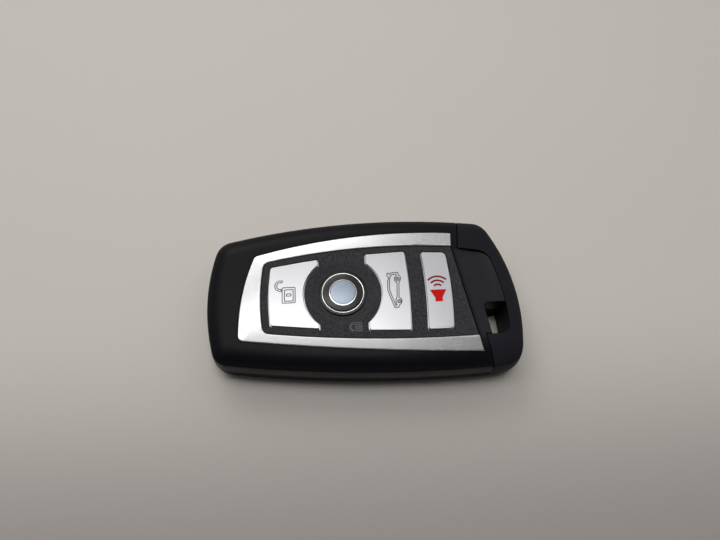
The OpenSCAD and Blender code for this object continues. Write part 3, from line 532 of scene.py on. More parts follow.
casingBlack = finishOf("casing_black", dark=(0.0026, 0.0022, 0.0036), light=(0.0062, 0.0056, 0.0080),
                       rough=0.38, specular=0.115)
headBlack = finishOf("head_black", dark=(0.0086, 0.0080, 0.0108), light=(0.0182, 0.0171, 0.0230),
                     grain=0.22, rough=0.5, relief=0.22, specular=0.06)
backBlack = finishOf("back_black", dark=(0.006, 0.006, 0.0068), light=(0.014, 0.014, 0.0158),
                     grain=0.35, rough=0.55, relief=0.4, worn=0.35, bare=0.3, specular=0.03)
rubberBlack = finishOf("rubber_black", dark=(0.02, 0.02, 0.02), light=(0.035, 0.035, 0.036),
                       rough=0.75, relief=0.3)
panelCharcoal = finishOf("panel_charcoal", dark=(0.008, 0.008, 0.009), light=(0.066, 0.064, 0.073),
                         fleck=3.6, cloud=0.2, grain=0.2, rough=0.58, relief=0.55, depth=0.03,
                         polish=-0.03, worn=0.0, specular=0.09)
trimPearl = finishOf("trim_pearl", dark=(0.57, 0.575, 0.592), light=(0.69, 0.696, 0.712), metal=1.0,
                     fleck=0.5, cloud=0.3, grain=0.09, rough=0.27, polish=-0.02, sparkle=0.06,
                     relief=0.03, depth=0.006, scuff=2.2, worn=0.1, dull=0.05, bare=-0.2)
capSilver = finishOf("cap_silver", dark=(0.495, 0.505, 0.535), light=(0.615, 0.625, 0.66), metal=1.0,
                     fleck=1.1, cloud=0.6, grain=0.09, rough=0.32, polish=-0.03, sparkle=0.12,
                     relief=0.06, depth=0.006, scuff=1.6, worn=0.18, dull=0.08, bare=-0.5)
glossBlack = finishOf("gloss_black", dark=(0.004, 0.004, 0.005), light=(0.009, 0.009, 0.010), rough=0.3,
                      coat=0.3, coatRough=0.1, relief=0.03, worn=0.25, dull=0.12, specular=0.25)
domeBlack = finishOf("dome_black", dark=(0.004, 0.004, 0.005), light=(0.009, 0.009, 0.011), rough=0.3,
                     coat=0.35, coatRough=0.22, relief=0.02, worn=0.15, fleck=1.5, polish=-0.04,
                     specular=0.3)
brightRing = finishOf("bright_ring", dark=(0.72, 0.72, 0.72), light=(0.88, 0.88, 0.87), metal=1.0,
                      rough=0.2, relief=0.03, depth=0.005, grain=0.1)
# painted shade: dark grey outlines on the raised cap icons stand in for the shade along the edges of their
# strokes
iconEdgeShade = finishOf("icon_edge_shade", dark=(0.03, 0.03, 0.032), light=(0.055, 0.055, 0.058), rough=0.55,
                    grain=0.1, specular=0.25)
hornRed = finishOf("horn_red", dark=(0.52, 0.003, 0.003), light=(0.68, 0.008, 0.006), rough=0.6,
                   grain=0.1, specular=0.15)
waveRed = finishOf("wave_red", dark=(0.17, 0.006, 0.006), light=(0.26, 0.012, 0.011), rough=0.6,
                   grain=0.1, specular=0.15)
# painted highlight: the padlock is raised in the panel's own black, drawn lighter grey to stand in for the
# light its raised outlines catch
panelMarkSheen = finishOf("panel_mark_sheen", dark=(0.085, 0.085, 0.09), light=(0.14, 0.14, 0.147), rough=0.5,
                     specular=0.3)


inlayLook = {"dark": (0.07, 0.10, 0.15), "light": (0.50, 0.57, 0.66), "often": 34.0, "smear": 4.0,
             "cloud": 0.6, "streak": 0.2, "rough": 0.24}


def inlayFinish(name, centreX):
    # satin disc brushed outwards from its middle
    look = inlayLook
    finish, tree, shader = newFinish(name)
    streak = useGroup(tree, sunBrush, CentreX=centreX, Often=look["often"]).outputs["Streak"]
    marks = useGroup(tree, handlingMarks, Size=look["smear"], Spread=1.0)
    tone = addMath(tree, "MULTIPLY_ADD", marks.outputs["Cloud"], look["cloud"], streak, clamp=True)
    wire(tree, mixTones(tree, tone, look["dark"], look["light"]), shader, "Base Color")
    gloss = addMath(tree, "MULTIPLY_ADD", streak, look["streak"], look["rough"])
    wire(tree, gloss, shader, "Roughness")
    shader.inputs["Metallic"].default_value = 1.0
    return finish


print("outer finishes ready")


# Outer form of the casing and the key head

body = {
    "tailX": -40.4, "noseX": 40.4, "halfWide": 21.3, "flankX": 5.6, "flankR": 190.0, "tailR": 52.0,
    "noseR": 50.0, "noseShift": 6.2, "cornerR": 5.4, "seamZ": 6.4, "crownZ": 12.15, "backIn": 1.4,
    "power": 3.2, "leastR": 0.3, "cornerAt": (36, 18),
    "longPoints": 64, "endPoints": 40, "cornerPoints": 18, "backRings": 10,
}


def meetOf(first, second, near):
    # where two circles cross, at the crossing nearest to a point
    (c1, r1), (c2, r2) = first, second
    way = c2 - c1
    d = way.length
    along = (d * d + r1 * r1 - r2 * r2) / (2 * d)
    off = math.sqrt(max(r1 * r1 - along * along, 0))
    foot = c1 + way * (along / d)
    side = Vector((-way.y, way.x)) / d
    return min((foot + side * off, foot - side * off), key=lambda p: (p - near).length)


def planArcs():
    # centre, radius and number of points of the four great arcs: nose, far flank, tail, near flank
    b = body
    return [
        (Vector((b["noseX"] - b["noseR"], -b["noseShift"])), b["noseR"], b["endPoints"]),
        (Vector((b["flankX"], b["halfWide"] - b["flankR"])), b["flankR"], b["longPoints"]),
        (Vector((b["tailX"] + b["tailR"], 0)), b["tailR"], b["endPoints"]),
        (Vector((b["flankX"], b["flankR"] - b["halfWide"])), b["flankR"], b["longPoints"]),
    ]


def planLine(inset):
    # plan outline drawn in by an inset: the great arcs joined by four corner arcs
    b = body
    arcs = planArcs()
    corner = max(b["cornerR"] - inset, b["leastR"])
    x, y = b["cornerAt"]
    guess = [Vector((x, y)), Vector((-x, y)), Vector((-x, -y)), Vector((x, -y))]
    inner = [(centre, radius - inset - corner) for centre, radius, count in arcs]
    meets = [meetOf(inner[i], inner[(i + 1) % 4], guess[i]) for i in range(4)]
    line = []
    for i, (centre, radius, count) in enumerate(arcs):
        start, end = meets[i - 1] - centre, meets[i] - centre
        a0, a1 = math.atan2(start.y, start.x), math.atan2(end.y, end.x)
        a1 += 2 * math.pi if a1 < a0 else 0
        drawn = radius - inset
        for k in range(count):
            a = a0 + (a1 - a0) * k / count
            line.append((centre.x + drawn * math.cos(a), centre.y + drawn * math.sin(a)))
        after = meets[i] - arcs[(i + 1) % 4][0]
        a2 = math.atan2(after.y, after.x)
        a2 += 2 * math.pi if a2 < a1 - math.pi else 0
        for k in range(b["cornerPoints"]):
            a = a1 + (a2 - a1) * k / b["cornerPoints"]
            line.append((meets[i].x + corner * math.cos(a), meets[i].y + corner * math.sin(a)))
    return line


# section of the upper form, as (inset from the plan outline, height): side wall, soft crease, rim, flat top
crown = (
    (0.0, 6.4), (0.08, 7.3), (0.18, 8.3), (0.32, 9.3), (0.42, 9.85), (0.47, 10.1), (0.52, 10.28),
    (0.60, 10.43), (0.74, 10.58), (1.05, 10.84), (1.6, 11.22), (2.3, 11.58), (3.1, 11.85), (3.9, 12.02),
    (4.7, 12.11), (5.6, 12.15),
)


def crownRings():
    return [atHeight(planLine(inset), z) for inset, z in crown]


def backSection():
    # section of the lower form, from the seam down to the flat back
    b = body
    section = []
    for i in range(b["backRings"] + 1):
        a = math.pi / 2 * i / b["backRings"]
        drawn = 1 - max(math.cos(a), 0) ** (2 / b["power"])
        section.append((b["backIn"] * drawn, b["seamZ"] * (1 - math.sin(a) ** (2 / b["power"]))))
    return section


def heightIn(section, x, y):
    # height of a section at a place in the plan
    spot = Vector((x, y))
    inset = min(radius - (spot - centre).length for centre, radius, count in planArcs())
    for (in0, z0), (in1, z1) in zip(section, section[1:]):
        if inset < in1:
            return z0 + (z1 - z0) * max(inset - in0, 0) / (in1 - in0)
    return section[-1][1]


def crownHeight(x, y):
    return heightIn(crown, x, y)


def backHeight(x, y):
    return heightIn(backSection(), x, y)


def backRings():
    return [atHeight(planLine(inset), z) for inset, z in reversed(backSection())]


# Lines of the key head, the key-ring hole and the keypad

head = {
    "farSeamX": 25.6, "nearSeamX": 29.8, "farArmY": 11.3, "nearArmY": -12.5, "farLean": 0.12,
    "nearLean": 0.175, "rimX": 36.0, "blockFar": (33.1, 10.05), "blockBow": 1.15, "blockR": 2.0,
    "blockFarR": 4.4, "gap": 0.15, "pastX": 90.0, "pastY": 60.0,
    "endX": 25.8, "slant": math.tan(math.radians(9.6)),
    "holeTop": -4.2, "holeR": 1.2, "holeOpen": 45.0, "barWide": 3.55,
    "bladeY": 14.8, "bladeZ": 5.1, "bladeTop": 7.3, "bladeWide": 6.4, "mouthX": 20.0, "mouthDeep": 0.35,
    "rootWide": 5.0, "rootLong": 8.0, "rootIn": 5.0, "fit": 0.1,
    "scoopR": 12.0, "scoopIn": 5.8, "scoopFall": 3.0, "scoopPast": 1.5,
    "edge": 0.14, "wallTop": 8.5, "wallLow": 4.0,
}


def endLine(y):
    return head["endX"] - y * head["slant"]


def headLine():
    # outline of the head's share of the plan, with the C's inside rounded
    h = head
    far, near = h["pastY"], -h["pastY"]
    block = bowLine((h["rimX"], h["nearArmY"]), h["blockFar"], h["blockBow"])
    arm = [(h["nearSeamX"], h["nearArmY"]), (h["rimX"], h["nearArmY"])]
    inside = roundCorner(arm, block, h["blockR"], 12)
    inside = roundCorner(inside, [h["blockFar"], (h["farSeamX"], h["farArmY"])], h["blockFarR"], 16)
    return inside + [
        (h["farSeamX"] + (far - h["farArmY"]) * h["farLean"], far), (h["pastX"], far), (h["pastX"], near),
        (h["nearSeamX"] - (near - h["nearArmY"]) * h["nearLean"], near),
    ]


def holeLine():
    h = head
    foot = h["nearArmY"] - h["holeR"]
    barTop = (endLine(h["holeTop"]) + h["barWide"], h["holeTop"])
    barFoot = (endLine(h["nearArmY"]) + h["barWide"], foot)
    line = roundCorner([(h["holeOpen"], h["holeTop"]), barTop], [barTop, barFoot], h["holeR"], 12)
    return roundCorner(line, [line[-1], (h["holeOpen"], foot)], h["holeR"], 12)


keypad = {
    "trimFarTail": (-27.9, 11.3), "trimNearTail": (-31.6, -11.0), "trimNearEnd": (28.64, -16.8),
    "trimFarEnd": (25.6, 15.6), "trimTailBow": 1.2, "trimNearBow": 0.75, "trimFarBow": 2.4, "trimR": 1.5,
    "trimZ": 11.3, "trimEndGap": 1.95, "trimEndSlope": 0.1, "trimEndFrom": (22.5, 8.0), "trimEdge": 0.28,
    "panelTail": (-25.4, 9.5), "panelNearEnd": (27.91, -12.5), "panelFarEnd": (23.77, 12.0),
    "panelTailBow": 0.75, "panelNearBow": 1.1, "panelFarBow": 1.8, "panelR": 1.9,
    "farInner": 0.36, "nearInner": 0.22, "nearOuter": 0.27, "nearFrom": (6.0, 10.0),
    "stems": {"unlock": -19.4, "lock": -5.3, "boot": 7.9, "panic": 19.15}, "stemHole": 1.95,
    "deckTop": 10.3, "fit": 0.1, "edge": 0.1,
}


def shareOf(value, start, end):
    return min(max((value - start) / (end - start), 0.0), 1.0)


def slideOuter(x, y):
    # the near strip's outer line lies a little further out towards the tail
    k = keypad
    near = shareOf(-y, *k["nearFrom"]) * shareOf(x, k["trimNearEnd"][0], k["trimNearTail"][0])
    return x, y - k["nearOuter"] * near


def slideInner(x, y):
    # the panel lies a little nearer than midway, so that the far strip is the wider one
    k = keypad
    far = shareOf(y, -k["panelTail"][1], k["panelTail"][1])
    return x, y - k["nearInner"] - (k["farInner"] - k["nearInner"]) * far


def trimLine():
    # outer line of the frame, closed across the panel and cut back before the far seam
    k, h = keypad, head
    cutX = h["farSeamX"] - k["trimEndGap"]
    bow = bowLine(k["trimFarEnd"], k["trimFarTail"], k["trimFarBow"], 48)
    past = [x - cutX - (y - h["farArmY"]) * h["farLean"] for x, y in bow]
    n = next(i for i, over in enumerate(past) if over < 0)
    t = past[n - 1] / (past[n - 1] - past[n])
    farBow = [tuple(Vector(bow[n - 1]).lerp(Vector(bow[n]), t))] + bow[n:]
    line = roundCorner(farBow, bowLine(k["trimFarTail"], k["trimNearTail"], k["trimTailBow"]), k["trimR"])
    line = roundCorner(line, bowLine(k["trimNearTail"], k["trimNearEnd"], k["trimNearBow"]), k["trimR"])
    line = [slideOuter(x, y) for x, y in line]
    return line + [(endLine(0), 0.0), (cutX, 0.0), (cutX, h["farArmY"])]


def panelLine():
    k = keypad
    x, y = k["panelTail"]
    line = roundCorner(bowLine(k["panelFarEnd"], (x, y), k["panelFarBow"]),
                       bowLine((x, y), (x, -y), k["panelTailBow"]), k["panelR"])
    line = roundCorner(line, bowLine((x, -y), k["panelNearEnd"], k["panelNearBow"]), k["panelR"])
    return [slideInner(x, y) for x, y in line]


nearFlank = {"bend": 0.00118, "slope": 0.0190, "waist": -0.42, "most": 1.45, "seatY": -13.5, "seatX": 36.0,
             "clear": 0.3, "inside": 0.01}


def fillNearFlank(piece):
    # the near side is straighter than the far one and keeps fuller corners, outside the frame
    n, k, b = nearFlank, keypad, body
    (tailX, tailY), (endX, endY) = k["trimNearTail"], k["trimNearEnd"]
    for vert in piece.data.vertices:
        x, y = vert.co.x / mm, vert.co.y / mm
        along = shareOf(x, tailX, endX)
        frameY = tailY + (endY - tailY) * along - k["trimNearBow"] * math.sin(math.pi * along)
        frameY += (n["seatY"] - endY) * shareOf(x, endX, n["seatX"]) - n["clear"]
        edgeY = -b["halfWide"] + (x - b["flankX"]) ** 2 / (2 * b["flankR"])
        gain = min(n["bend"] * x * x + n["slope"] * x + n["waist"], n["most"])
        t = shareOf(y, frameY, edgeY)
        vert.co.y -= gain * t * t * (3 - 2 * t) * mm
        vert.co.y = max(vert.co.y, (n["inside"] - b["halfWide"]) * mm)


def scoopAxis():
    # foot and direction of the leaning drum that makes the thumb scoop
    h = head
    foot = Vector((endLine(h["holeTop"]) + h["scoopIn"], h["holeTop"], body["crownZ"] + h["scoopR"]))
    tilt = Matrix.Rotation(math.radians(-90 - h["scoopFall"]), 4, "X")
    return foot, Matrix.Rotation(math.atan(h["slant"]), 4, "Z") @ tilt


def skinHeight(x, y):
    # height of the shell's skin, with the scoop taken out of the outer form
    high = crownHeight(x, y)
    foot, lean = scoopAxis()
    along = lean.to_3x3() @ Vector((0, 0, 1))
    start = Vector((x, y, 0)) - foot
    start -= along * start.dot(along)
    climb = Vector((0, 0, 1)) - along * along.z
    a, b, c = climb.dot(climb), 2 * start.dot(climb), start.dot(start) - head["scoopR"] ** 2
    if y < head["holeTop"] - 1 or b * b < 4 * a * c:
        return high
    return min(high, (-b - math.sqrt(b * b - 4 * a * c)) / (2 * a))


# lighter base tones of the end block, painted light for the light it catches from the right
endBlock = {"dark": (0.0122, 0.0117, 0.0148), "light": (0.0208, 0.0199, 0.0254), "nearY": -14.0,
            "blend": 1.2}


def paintEndBlockLight(finish):
    # painted light: the block past the panel, inside the C, gets a lighter base colour than the rim,
    # standing in for the extra light it catches from the right
    e, h = endBlock, head
    tree = finish.node_tree
    skin = tree.nodes["Principled BSDF"].inputs["Base Color"]
    rim = skin.links[0].from_node
    apart = objectPlace(tree)
    lean = addMath(tree, "MULTIPLY_ADD", apart["Y"], h["slant"], apart["X"])
    share = 1.0
    for place, start, way in ((lean, h["endX"], 1), (apart["Y"], e["nearY"], 1),
                              (apart["Y"], h["farArmY"], -1)):
        past = addMath(tree, "SUBTRACT", place, start * mm)
        past = addMath(tree, "MULTIPLY", past, way / (e["blend"] * mm), clamp=True)
        share = addMath(tree, "MULTIPLY", share, past)
    block = mixTones(tree, rim.inputs["Factor"].links[0].from_socket, e["dark"], e["light"])
    both = addNode(tree, "ShaderNodeMix", {"data_type": "RGBA"})
    wire(tree, share, both, "Factor")
    wire(tree, rim.outputs["Result"], both, "A")
    wire(tree, block, both, "B")
    tree.links.new(both.outputs["Result"], skin)


shell = {"wall": 0.8, "hollowZ": (5.4, 10.0), "stemZ": (9.3, 13.0), "noseZ": 5.0, "backZ": (-1.0, 8.0),
         "cornerShare": 0.8, "cornerPast": 1.5}


def buildUpperCasing():
    k, h, s = keypad, head, shell
    piece = loftFrom("upper_shell", crownRings())
    # thumb scoop
    foot, lean = scoopAxis()
    long = h["farArmY"] - h["holeTop"] + 2 * h["scoopPast"]
    pickOnly(None)
    bpy.ops.mesh.primitive_cylinder_add(vertices=256, radius=h["scoopR"] * mm, depth=long * mm)
    drum = bpy.context.object
    middle = Matrix.Translation((0, 0, (long / 2 - h["scoopPast"]) * mm))
    drum.data.transform(Matrix.Translation(foot * mm) @ lean @ middle)
    cutWith(piece, drum)
    # what the casing leaves to the head and to the key ring
    for name, line in (("noseCut", growOutline(headLine(), h["gap"])), ("holeCut", holeLine())):
        line = finerLine(line)
        cutWith(piece, flaredCutter(name, [atHeight(line, s["noseZ"])], line, skinHeight, h["edge"]))
    # the hollow, taken from the CAD solid inside the middle of the wall
    hollow = slabFrom("hollow", planLine(s["wall"]), *s["hollowZ"])
    cutWith(hollow, cadCopy("upper_casing", "upperInside"))
    cutWith(piece, hollow)
    for x in k["stems"].values():
        cutWith(piece, slabFrom("stemCut", ringLine(x, 0, k["stemHole"], 32), *s["stemZ"]))
    # pockets of the frame and the panel, with rounded upper edges
    trim, panel = growOutline(trimLine(), k["fit"]), growOutline(panelLine(), k["fit"])
    cutWith(piece, flaredCutter("trimCut", [atHeight(trim, k["trimZ"])], trim, crownHeight, k["edge"]))
    cutWith(piece, flaredCutter("panelCut", [atHeight(panel, k["deckTop"])], panel, crownHeight, k["edge"]))
    tidyMesh(piece)
    fillNearFlank(piece)
    smoothFaces(piece)
    paintEndBlockLight(casingBlack)
    settle(piece, "casing", "casing_black", casingBlack, "upper_casing")


def buildLowerCasing():
    h, s = head, shell
    piece = cadCopy("lower_casing", "lower_shell")
    # room for the rounder far corner of the C
    corner = Vector(h["blockFar"])
    reach = s["cornerShare"] * h["blockFarR"]
    near = [spot for spot in growOutline(headLine(), h["gap"]) if (Vector(spot) - corner).length < reach]
    near.append((corner.x + s["cornerPast"], corner.y + s["cornerPast"]))
    cutWith(piece, slabFrom("cornerCut", near, *s["backZ"]))
    tidyMesh(piece, 0.01)
    fillNearFlank(piece)
    softenEdges(piece, h["edge"])
    settle(piece, "casing", "back_black", backBlack, "lower_casing")


def bladeBox(start, end, side):
    # plan of a straight pocket along the blade
    low, high = head["bladeY"] - side, head["bladeY"] + side
    return [(start, low), (end, low), (end, high), (start, high)]


def buildKeyHead():
    h = head
    piece = loftFrom("key_bow", backRings()[:-1] + crownRings())
    line = finerLine(headLine())
    keep = roundedKeeper("headKeep", line, lambda x, y: max(crownHeight(x, y), h["wallTop"]),
                         lambda x, y: min(backHeight(x, y), h["wallLow"]), h["edge"])
    cutWith(piece, keep, "INTERSECT")
    # seat of the blade's root, and the mouth round the blade
    root = bladeBox(h["farSeamX"] - h["rootIn"], h["farSeamX"] + h["rootLong"], h["rootWide"] / 2)
    cutWith(piece, slabFrom("rootCut", root, h["bladeZ"], h["bladeTop"]))
    mouth = bladeBox(h["mouthX"], h["farSeamX"] + h["mouthDeep"], h["bladeWide"] / 2 + h["fit"])
    cutWith(piece, slabFrom("mouthCut", mouth, h["bladeZ"] - h["fit"], h["bladeTop"] + h["fit"]))
    tidyMesh(piece)
    fillNearFlank(piece)
    smoothFaces(piece)
    settle(piece, "emergency_key", "casing_black", headBlack, "key_head")


buildUpperCasing()
buildLowerCasing()
buildKeyHead()
print("casing and key head built")


badge = {
    "x": keypad["stems"]["lock"], "capR": 6.0, "keepR": 6.4, "keepZ": 11.25, "keepTop": 11.55, "top": 12.3,
    "seatR": 5.45, "seatZ": 11.9, "stemR": 1.5, "stemZ": 9.52, "ringR": 5.42, "ringWide": 0.3,
    "ringTop": 12.4, "domeR": 5.09, "domeRise": 0.37, "inlayR": 3.15, "lineIn": 3.28, "lineOut": 3.48,
    "inlayUp": 0.03, "lineDeep": 0.1, "round": 0.16, "ease": 0.08, "turnIn": 0.03, "turnDown": 0.025,
    "domeEase": 0.03,
}


# Frame, panel and caps

def dressCopy(node, name, body, slot, finish, edge, segments=2):
    piece = cadCopy(node, name)
    softenEdges(piece, edge, segments)
    settle(piece, body, slot, finish, node)


caps = {
    "top": 12.5, "keepZ": 11.25, "keepTop": 11.55, "keepWide": 0.4, "gap": 0.26, "edge": 0.13, "stemR": 1.5,
    "stemZ": 9.52, "stemIn": 0.1, "room": 0.05, "drawIn": 0.17, "farShare": 0.975, "nearShare": 1.013,
    "panelIn": 0.14, "panelZ": 10.7, "panelTop": 12.3, "panelEdge": 0.09,
    "dishDeep": 0.3, "dishR": 8.1, "dishSteps": 8, "dishPast": 0.4, "dishOver": 0.06,
    "boreR": 6.18, "boreTop": 14.0, "under": 1.0, "lipUnder": 1.5,
    # end of each cap, towards the tail or the nose, whose two corners are redrawn, and their radius
    "corners": {"unlock": (-1, 0.9), "boot": (1, 0.8), "panic": (1, 1.5)}, "cornerPull": 1.6,
}
capOutlines = {name: topOutline(name + "_cap") for name in caps["corners"]}
for name, (side, radius) in caps["corners"].items():
    for far in (1, -1):
        pull = caps["cornerPull"] * far
        place = max(capOutlines[name], key=lambda spot: side * spot[0] + pull * spot[1])
        capOutlines[name] = rounderCorner(capOutlines[name], place, radius)
    drawn = growOutline(capOutlines[name], -caps["drawIn"])
    capOutlines[name] = [(x, y * caps["farShare" if y > 0 else "nearShare"]) for x, y in drawn]


def buildCap(name, stemX):
    c = caps
    outline = capOutlines[name]
    lip = growOutline(outline, c["keepWide"])
    rings = [atHeight(lip, c["keepZ"]), atHeight(lip, c["keepTop"]), atHeight(outline, c["keepTop"])]
    piece = loftFrom(name + "_key", rings + roundedTop(outline, c["top"], c["edge"]))
    stem = slabFrom("stem", ringLine(stemX, 0, c["stemR"], 32), c["stemZ"], c["keepZ"] + c["stemIn"])
    cutWith(piece, stem, "UNION")
    smoothFaces(piece)
    settle(piece, name + "_button", "cap_silver", capSilver, name + "_cap")


def buildPanel():
    c = caps
    outline = growOutline(panelLine(), -c["panelIn"])
    rings = [atHeight(outline, c["panelZ"])] + roundedTop(outline, c["panelTop"], c["panelEdge"])
    piece = loftFrom("key_panel", rings)
    for outline in capOutlines.values():
        narrow = growOutline(outline, c["gap"])
        rings = [atHeight(narrow, c["panelZ"] - c["under"])]
        cutWith(piece, flaredCutter("capCut", rings, narrow, lambda x, y: c["panelTop"], c["panelEdge"]))
        wide = growOutline(outline, c["keepWide"] + c["gap"])
        cutWith(piece, slabFrom("lipCut", wide, c["panelZ"] - c["lipUnder"], c["keepTop"] + c["room"]))
    # bore and shallow dish of the lock button
    shelf = c["keepTop"] + c["room"]
    low = c["panelTop"] - c["dishDeep"]
    slope = []
    for t in (i / c["dishSteps"] for i in range(c["dishSteps"] + 1)):
        slope.append((c["boreR"] + (c["dishR"] - c["boreR"]) * t, low + c["dishDeep"] * t ** 1.5))
    foot, wide, past = c["panelZ"] - c["under"], c["boreR"] + c["keepWide"], c["dishR"] + c["dishPast"]
    bore = [(axisR, foot), (wide, foot), (wide, shelf), (c["boreR"], shelf)] + slope
    bore += [(past, c["panelTop"] + c["dishOver"]), (past, c["boreTop"]), (axisR, c["boreTop"])]
    cutWith(piece, spinFrom("boreCut", badge["x"], 0, bore))
    smoothFaces(piece, 30)
    settle(piece, "casing", "panel_charcoal", panelCharcoal, "button_panel")


for name in capOutlines:
    buildCap(name, keypad["stems"][name])
buildPanel()


def buildTrim():
    # the far end is drawn out along the seam of the head
    k, h = keypad, head
    piece = cadCopy("bezel_trim", "trim_frame")
    outer, inner = trimLine(), panelLine()
    for vert in piece.data.vertices:
        x, y = vert.co.x / mm, vert.co.y / mm
        away = [min(math.dist(spot, (x, y)) for spot in line) for line in (outer, inner)]
        slid = slideInner(x, y) if away[1] < away[0] else slideOuter(x, y)
        vert.co += Vector((slid[0] - x, slid[1] - y, 0)) * mm
        if x > k["trimEndFrom"][0] and y > k["trimEndFrom"][1]:
            gain = h["farSeamX"] - k["trimEndGap"] + (y - h["farArmY"]) * h["farLean"] - x
            vert.co += Vector((gain, -gain * k["trimEndSlope"], 0)) * mm
    softenEdges(piece, k["trimEdge"], 3)
    settle(piece, "casing", "trim_metal", trimPearl, "bezel_trim")


buildTrim()
dressCopy("battery_cover", "battery_door", "cover", "back_black", backBlack, 0.15)
dressCopy("release_button", "release_key", "release", "back_black", rubberBlack, 0.15)
steelBlade = finishOf("steel_blade", dark=(0.5, 0.5, 0.5), light=(0.66, 0.66, 0.65), metal=1.0, rough=0.3,
                      grain=0.3, relief=0.08, worn=0.5, bare=0.4, scuff=0.8)
dressCopy("key_blade", "key_shank", "emergency_key", "blade_steel", steelBlade, 0.1)


def buildLatch():
    # in the real fob the leaf is staked at its root and lifted by the release post past the tip line; here
    # it is a subdivided copy in the blade's steel
    piece = cadCopy("latch_spring", "latch_leaf")
    openMesh(piece)
    bpy.ops.mesh.subdivide(number_cuts=3)
    closeMesh()
    smoothFaces(piece, 30)
    piece.data.materials.clear()
    piece.data.materials.append(steelBlade)
    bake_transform(piece)
    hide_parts("latch_spring")


buildLatch()
print("frame, panel and caps built")


# Lock button with its ring and dome

badgeBlue = inlayFinish("badge_blue", badge["x"])


def buildBadge():
    b = badge
    r = b["round"]
    lip = [(b["capR"] - r + r * math.sin(a), b["top"] - r + r * math.cos(a))
           for a in (math.pi / 2 * (1 - i / 5) for i in range(6))]
    cap = spinFrom("lock_key", b["x"], 0, [
        (axisR, b["stemZ"]), (b["stemR"], b["stemZ"]), (b["stemR"], b["keepZ"]), (b["keepR"], b["keepZ"]),
        (b["keepR"], b["keepTop"]), (b["capR"], b["keepTop"])] + lip + [
        (b["seatR"] + b["ease"], b["top"]), (b["seatR"], b["top"] - b["ease"]), (b["seatR"], b["seatZ"]),
        (axisR, b["seatZ"])])
    smoothFaces(cap)
    settle(cap, "lock_button", "gloss_black", glossBlack, "lock_cap")
    ro, ri, top = b["ringR"], b["ringR"] - b["ringWide"], b["ringTop"]
    ring = spinFrom("bright_band", b["x"], 0, [
        (ri, b["seatZ"]), (ro, b["seatZ"]), (ro, top - b["ease"]), (ro - b["turnIn"], top - b["turnDown"]),
        (ro - b["ease"], top), (ri + b["ease"], top), (ri + b["turnIn"], top - b["turnDown"]),
        (ri, top - b["ease"])])
    smoothFaces(ring)
    settle(ring, "lock_button", "bright_ring", brightRing, "badge_ring")
    rise = [(b["domeR"] * t, top + b["domeRise"] * (1 - t * t))
            for t in (0.98 - 0.07 * i for i in range(14))]
    dome = spinFrom("badge_lens", b["x"], 0, [
        (axisR, b["seatZ"]), (b["domeR"], b["seatZ"]), (b["domeR"], top - b["domeEase"])] + rise + [
        (axisR, top + b["domeRise"])])
    smoothFaces(dome, 50)
    settle(dome, "lock_button", "gloss_black", domeBlack, "badge_dome")

    # plain brushed disc and hairline ring let into the dome
    def over(r):
        return top + b["domeRise"] * (1 - (r / b["domeR"]) ** 2) + b["inlayUp"]
    low = over(b["lineOut"]) - b["lineDeep"]
    rim = [b["inlayR"] * t for t in (1 - 0.1 * i for i in range(10))]
    disc = [(axisR, low), (b["inlayR"], low)] + [(r, over(r)) for r in rim] + [(axisR, over(0))]
    inlay = spinFrom("badge_inlay", b["x"], 0, disc)
    smoothFaces(inlay, 50)
    settle(inlay, "lock_button", "bright_ring", badgeBlue)
    line = spinFrom("badge_line", b["x"], 0, [
        (b["lineIn"], low), (b["lineOut"], low), (b["lineOut"], over(b["lineOut"])),
        (b["lineIn"], over(b["lineIn"]))])
    smoothFaces(line)
    settle(line, "lock_button", "bright_ring", brightRing)


buildBadge()
print("lock button built")


# Printed red marks, and raised marks drawn with painted shade on the caps and a painted highlight on the
# panel

marks = {"capTop": 12.5, "panelTop": 12.3, "sunk": 0.06, "stand": 0.025, "line": 0.22}


def stripFrom(name, outline, z, line=None):
    # an outline drawn as a thin raised line, or filled where no line is given
    m = marks
    piece = faceFrom(name, atHeight(outline, z - m["sunk"]))
    openMesh(piece)
    if line:
        bpy.ops.mesh.inset(thickness=line * mm, depth=0, use_boundary=True)
        bpy.ops.mesh.delete(type="ONLY_FACE")
        bpy.ops.mesh.select_all(action="SELECT")
    rise = (m["sunk"] + m["stand"]) * mm
    bpy.ops.mesh.extrude_region_move(TRANSFORM_OT_translate={"value": (0, 0, rise)})
    closeMesh()
    pointOutwards(piece)
    return piece


def boxLine(x0, y0, x1, y1, radius):
    line = []
    for cx, cy, start in ((x1 - radius, y1 - radius, 0), (x0 + radius, y1 - radius, 90),
                          (x0 + radius, y0 + radius, 180), (x1 - radius, y0 + radius, 270)):
        for i in range(6):
            a = math.radians(start + 18 * i)
            line.append((cx + radius * math.cos(a), cy + radius * math.sin(a)))
    return line


def arcStroke(x, y, radius, wide, start, end, steps=24):
    # closed outline of a stroke along an arc
    turn = [math.radians(start + (end - start) * i / steps) for i in range(steps + 1)]
    far, near = radius + wide / 2, radius - wide / 2
    outer = [(x + far * math.cos(a), y + far * math.sin(a)) for a in turn]
    inner = [(x + near * math.cos(a), y + near * math.sin(a)) for a in reversed(turn)]
    return outer + inner


def joinMark(name, parts, body, slot, finish):
    # one piece from the strips of a mark
    pickOnly(parts[0])
    for part in parts[1:]:
        part.select_set(True)
    bpy.ops.object.join()
    parts[0].name = parts[0].data.name = name
    settle(parts[0], body, slot, finish)


unlockMark = {
    "boxes": ((-20.78, -2.25, -17.28, 2.1, 0.35), (-20.18, -1.75, -17.78, 1.5, 0.15),
              (-19.65, -0.4, -18.35, 0.4, 0.1)),
    "shackle": (-21.1, 2.5, 1.17, 0.72, 62, 287),
}


def buildUnlockMark():
    z, line = marks["capTop"], marks["line"]
    parts = [stripFrom("part", boxLine(*box), z, line) for box in unlockMark["boxes"]]
    parts.append(stripFrom("part", arcStroke(*unlockMark["shackle"]), z, line))
    joinMark("unlock_mark", parts, "unlock_button", "cap_silver", iconEdgeShade)


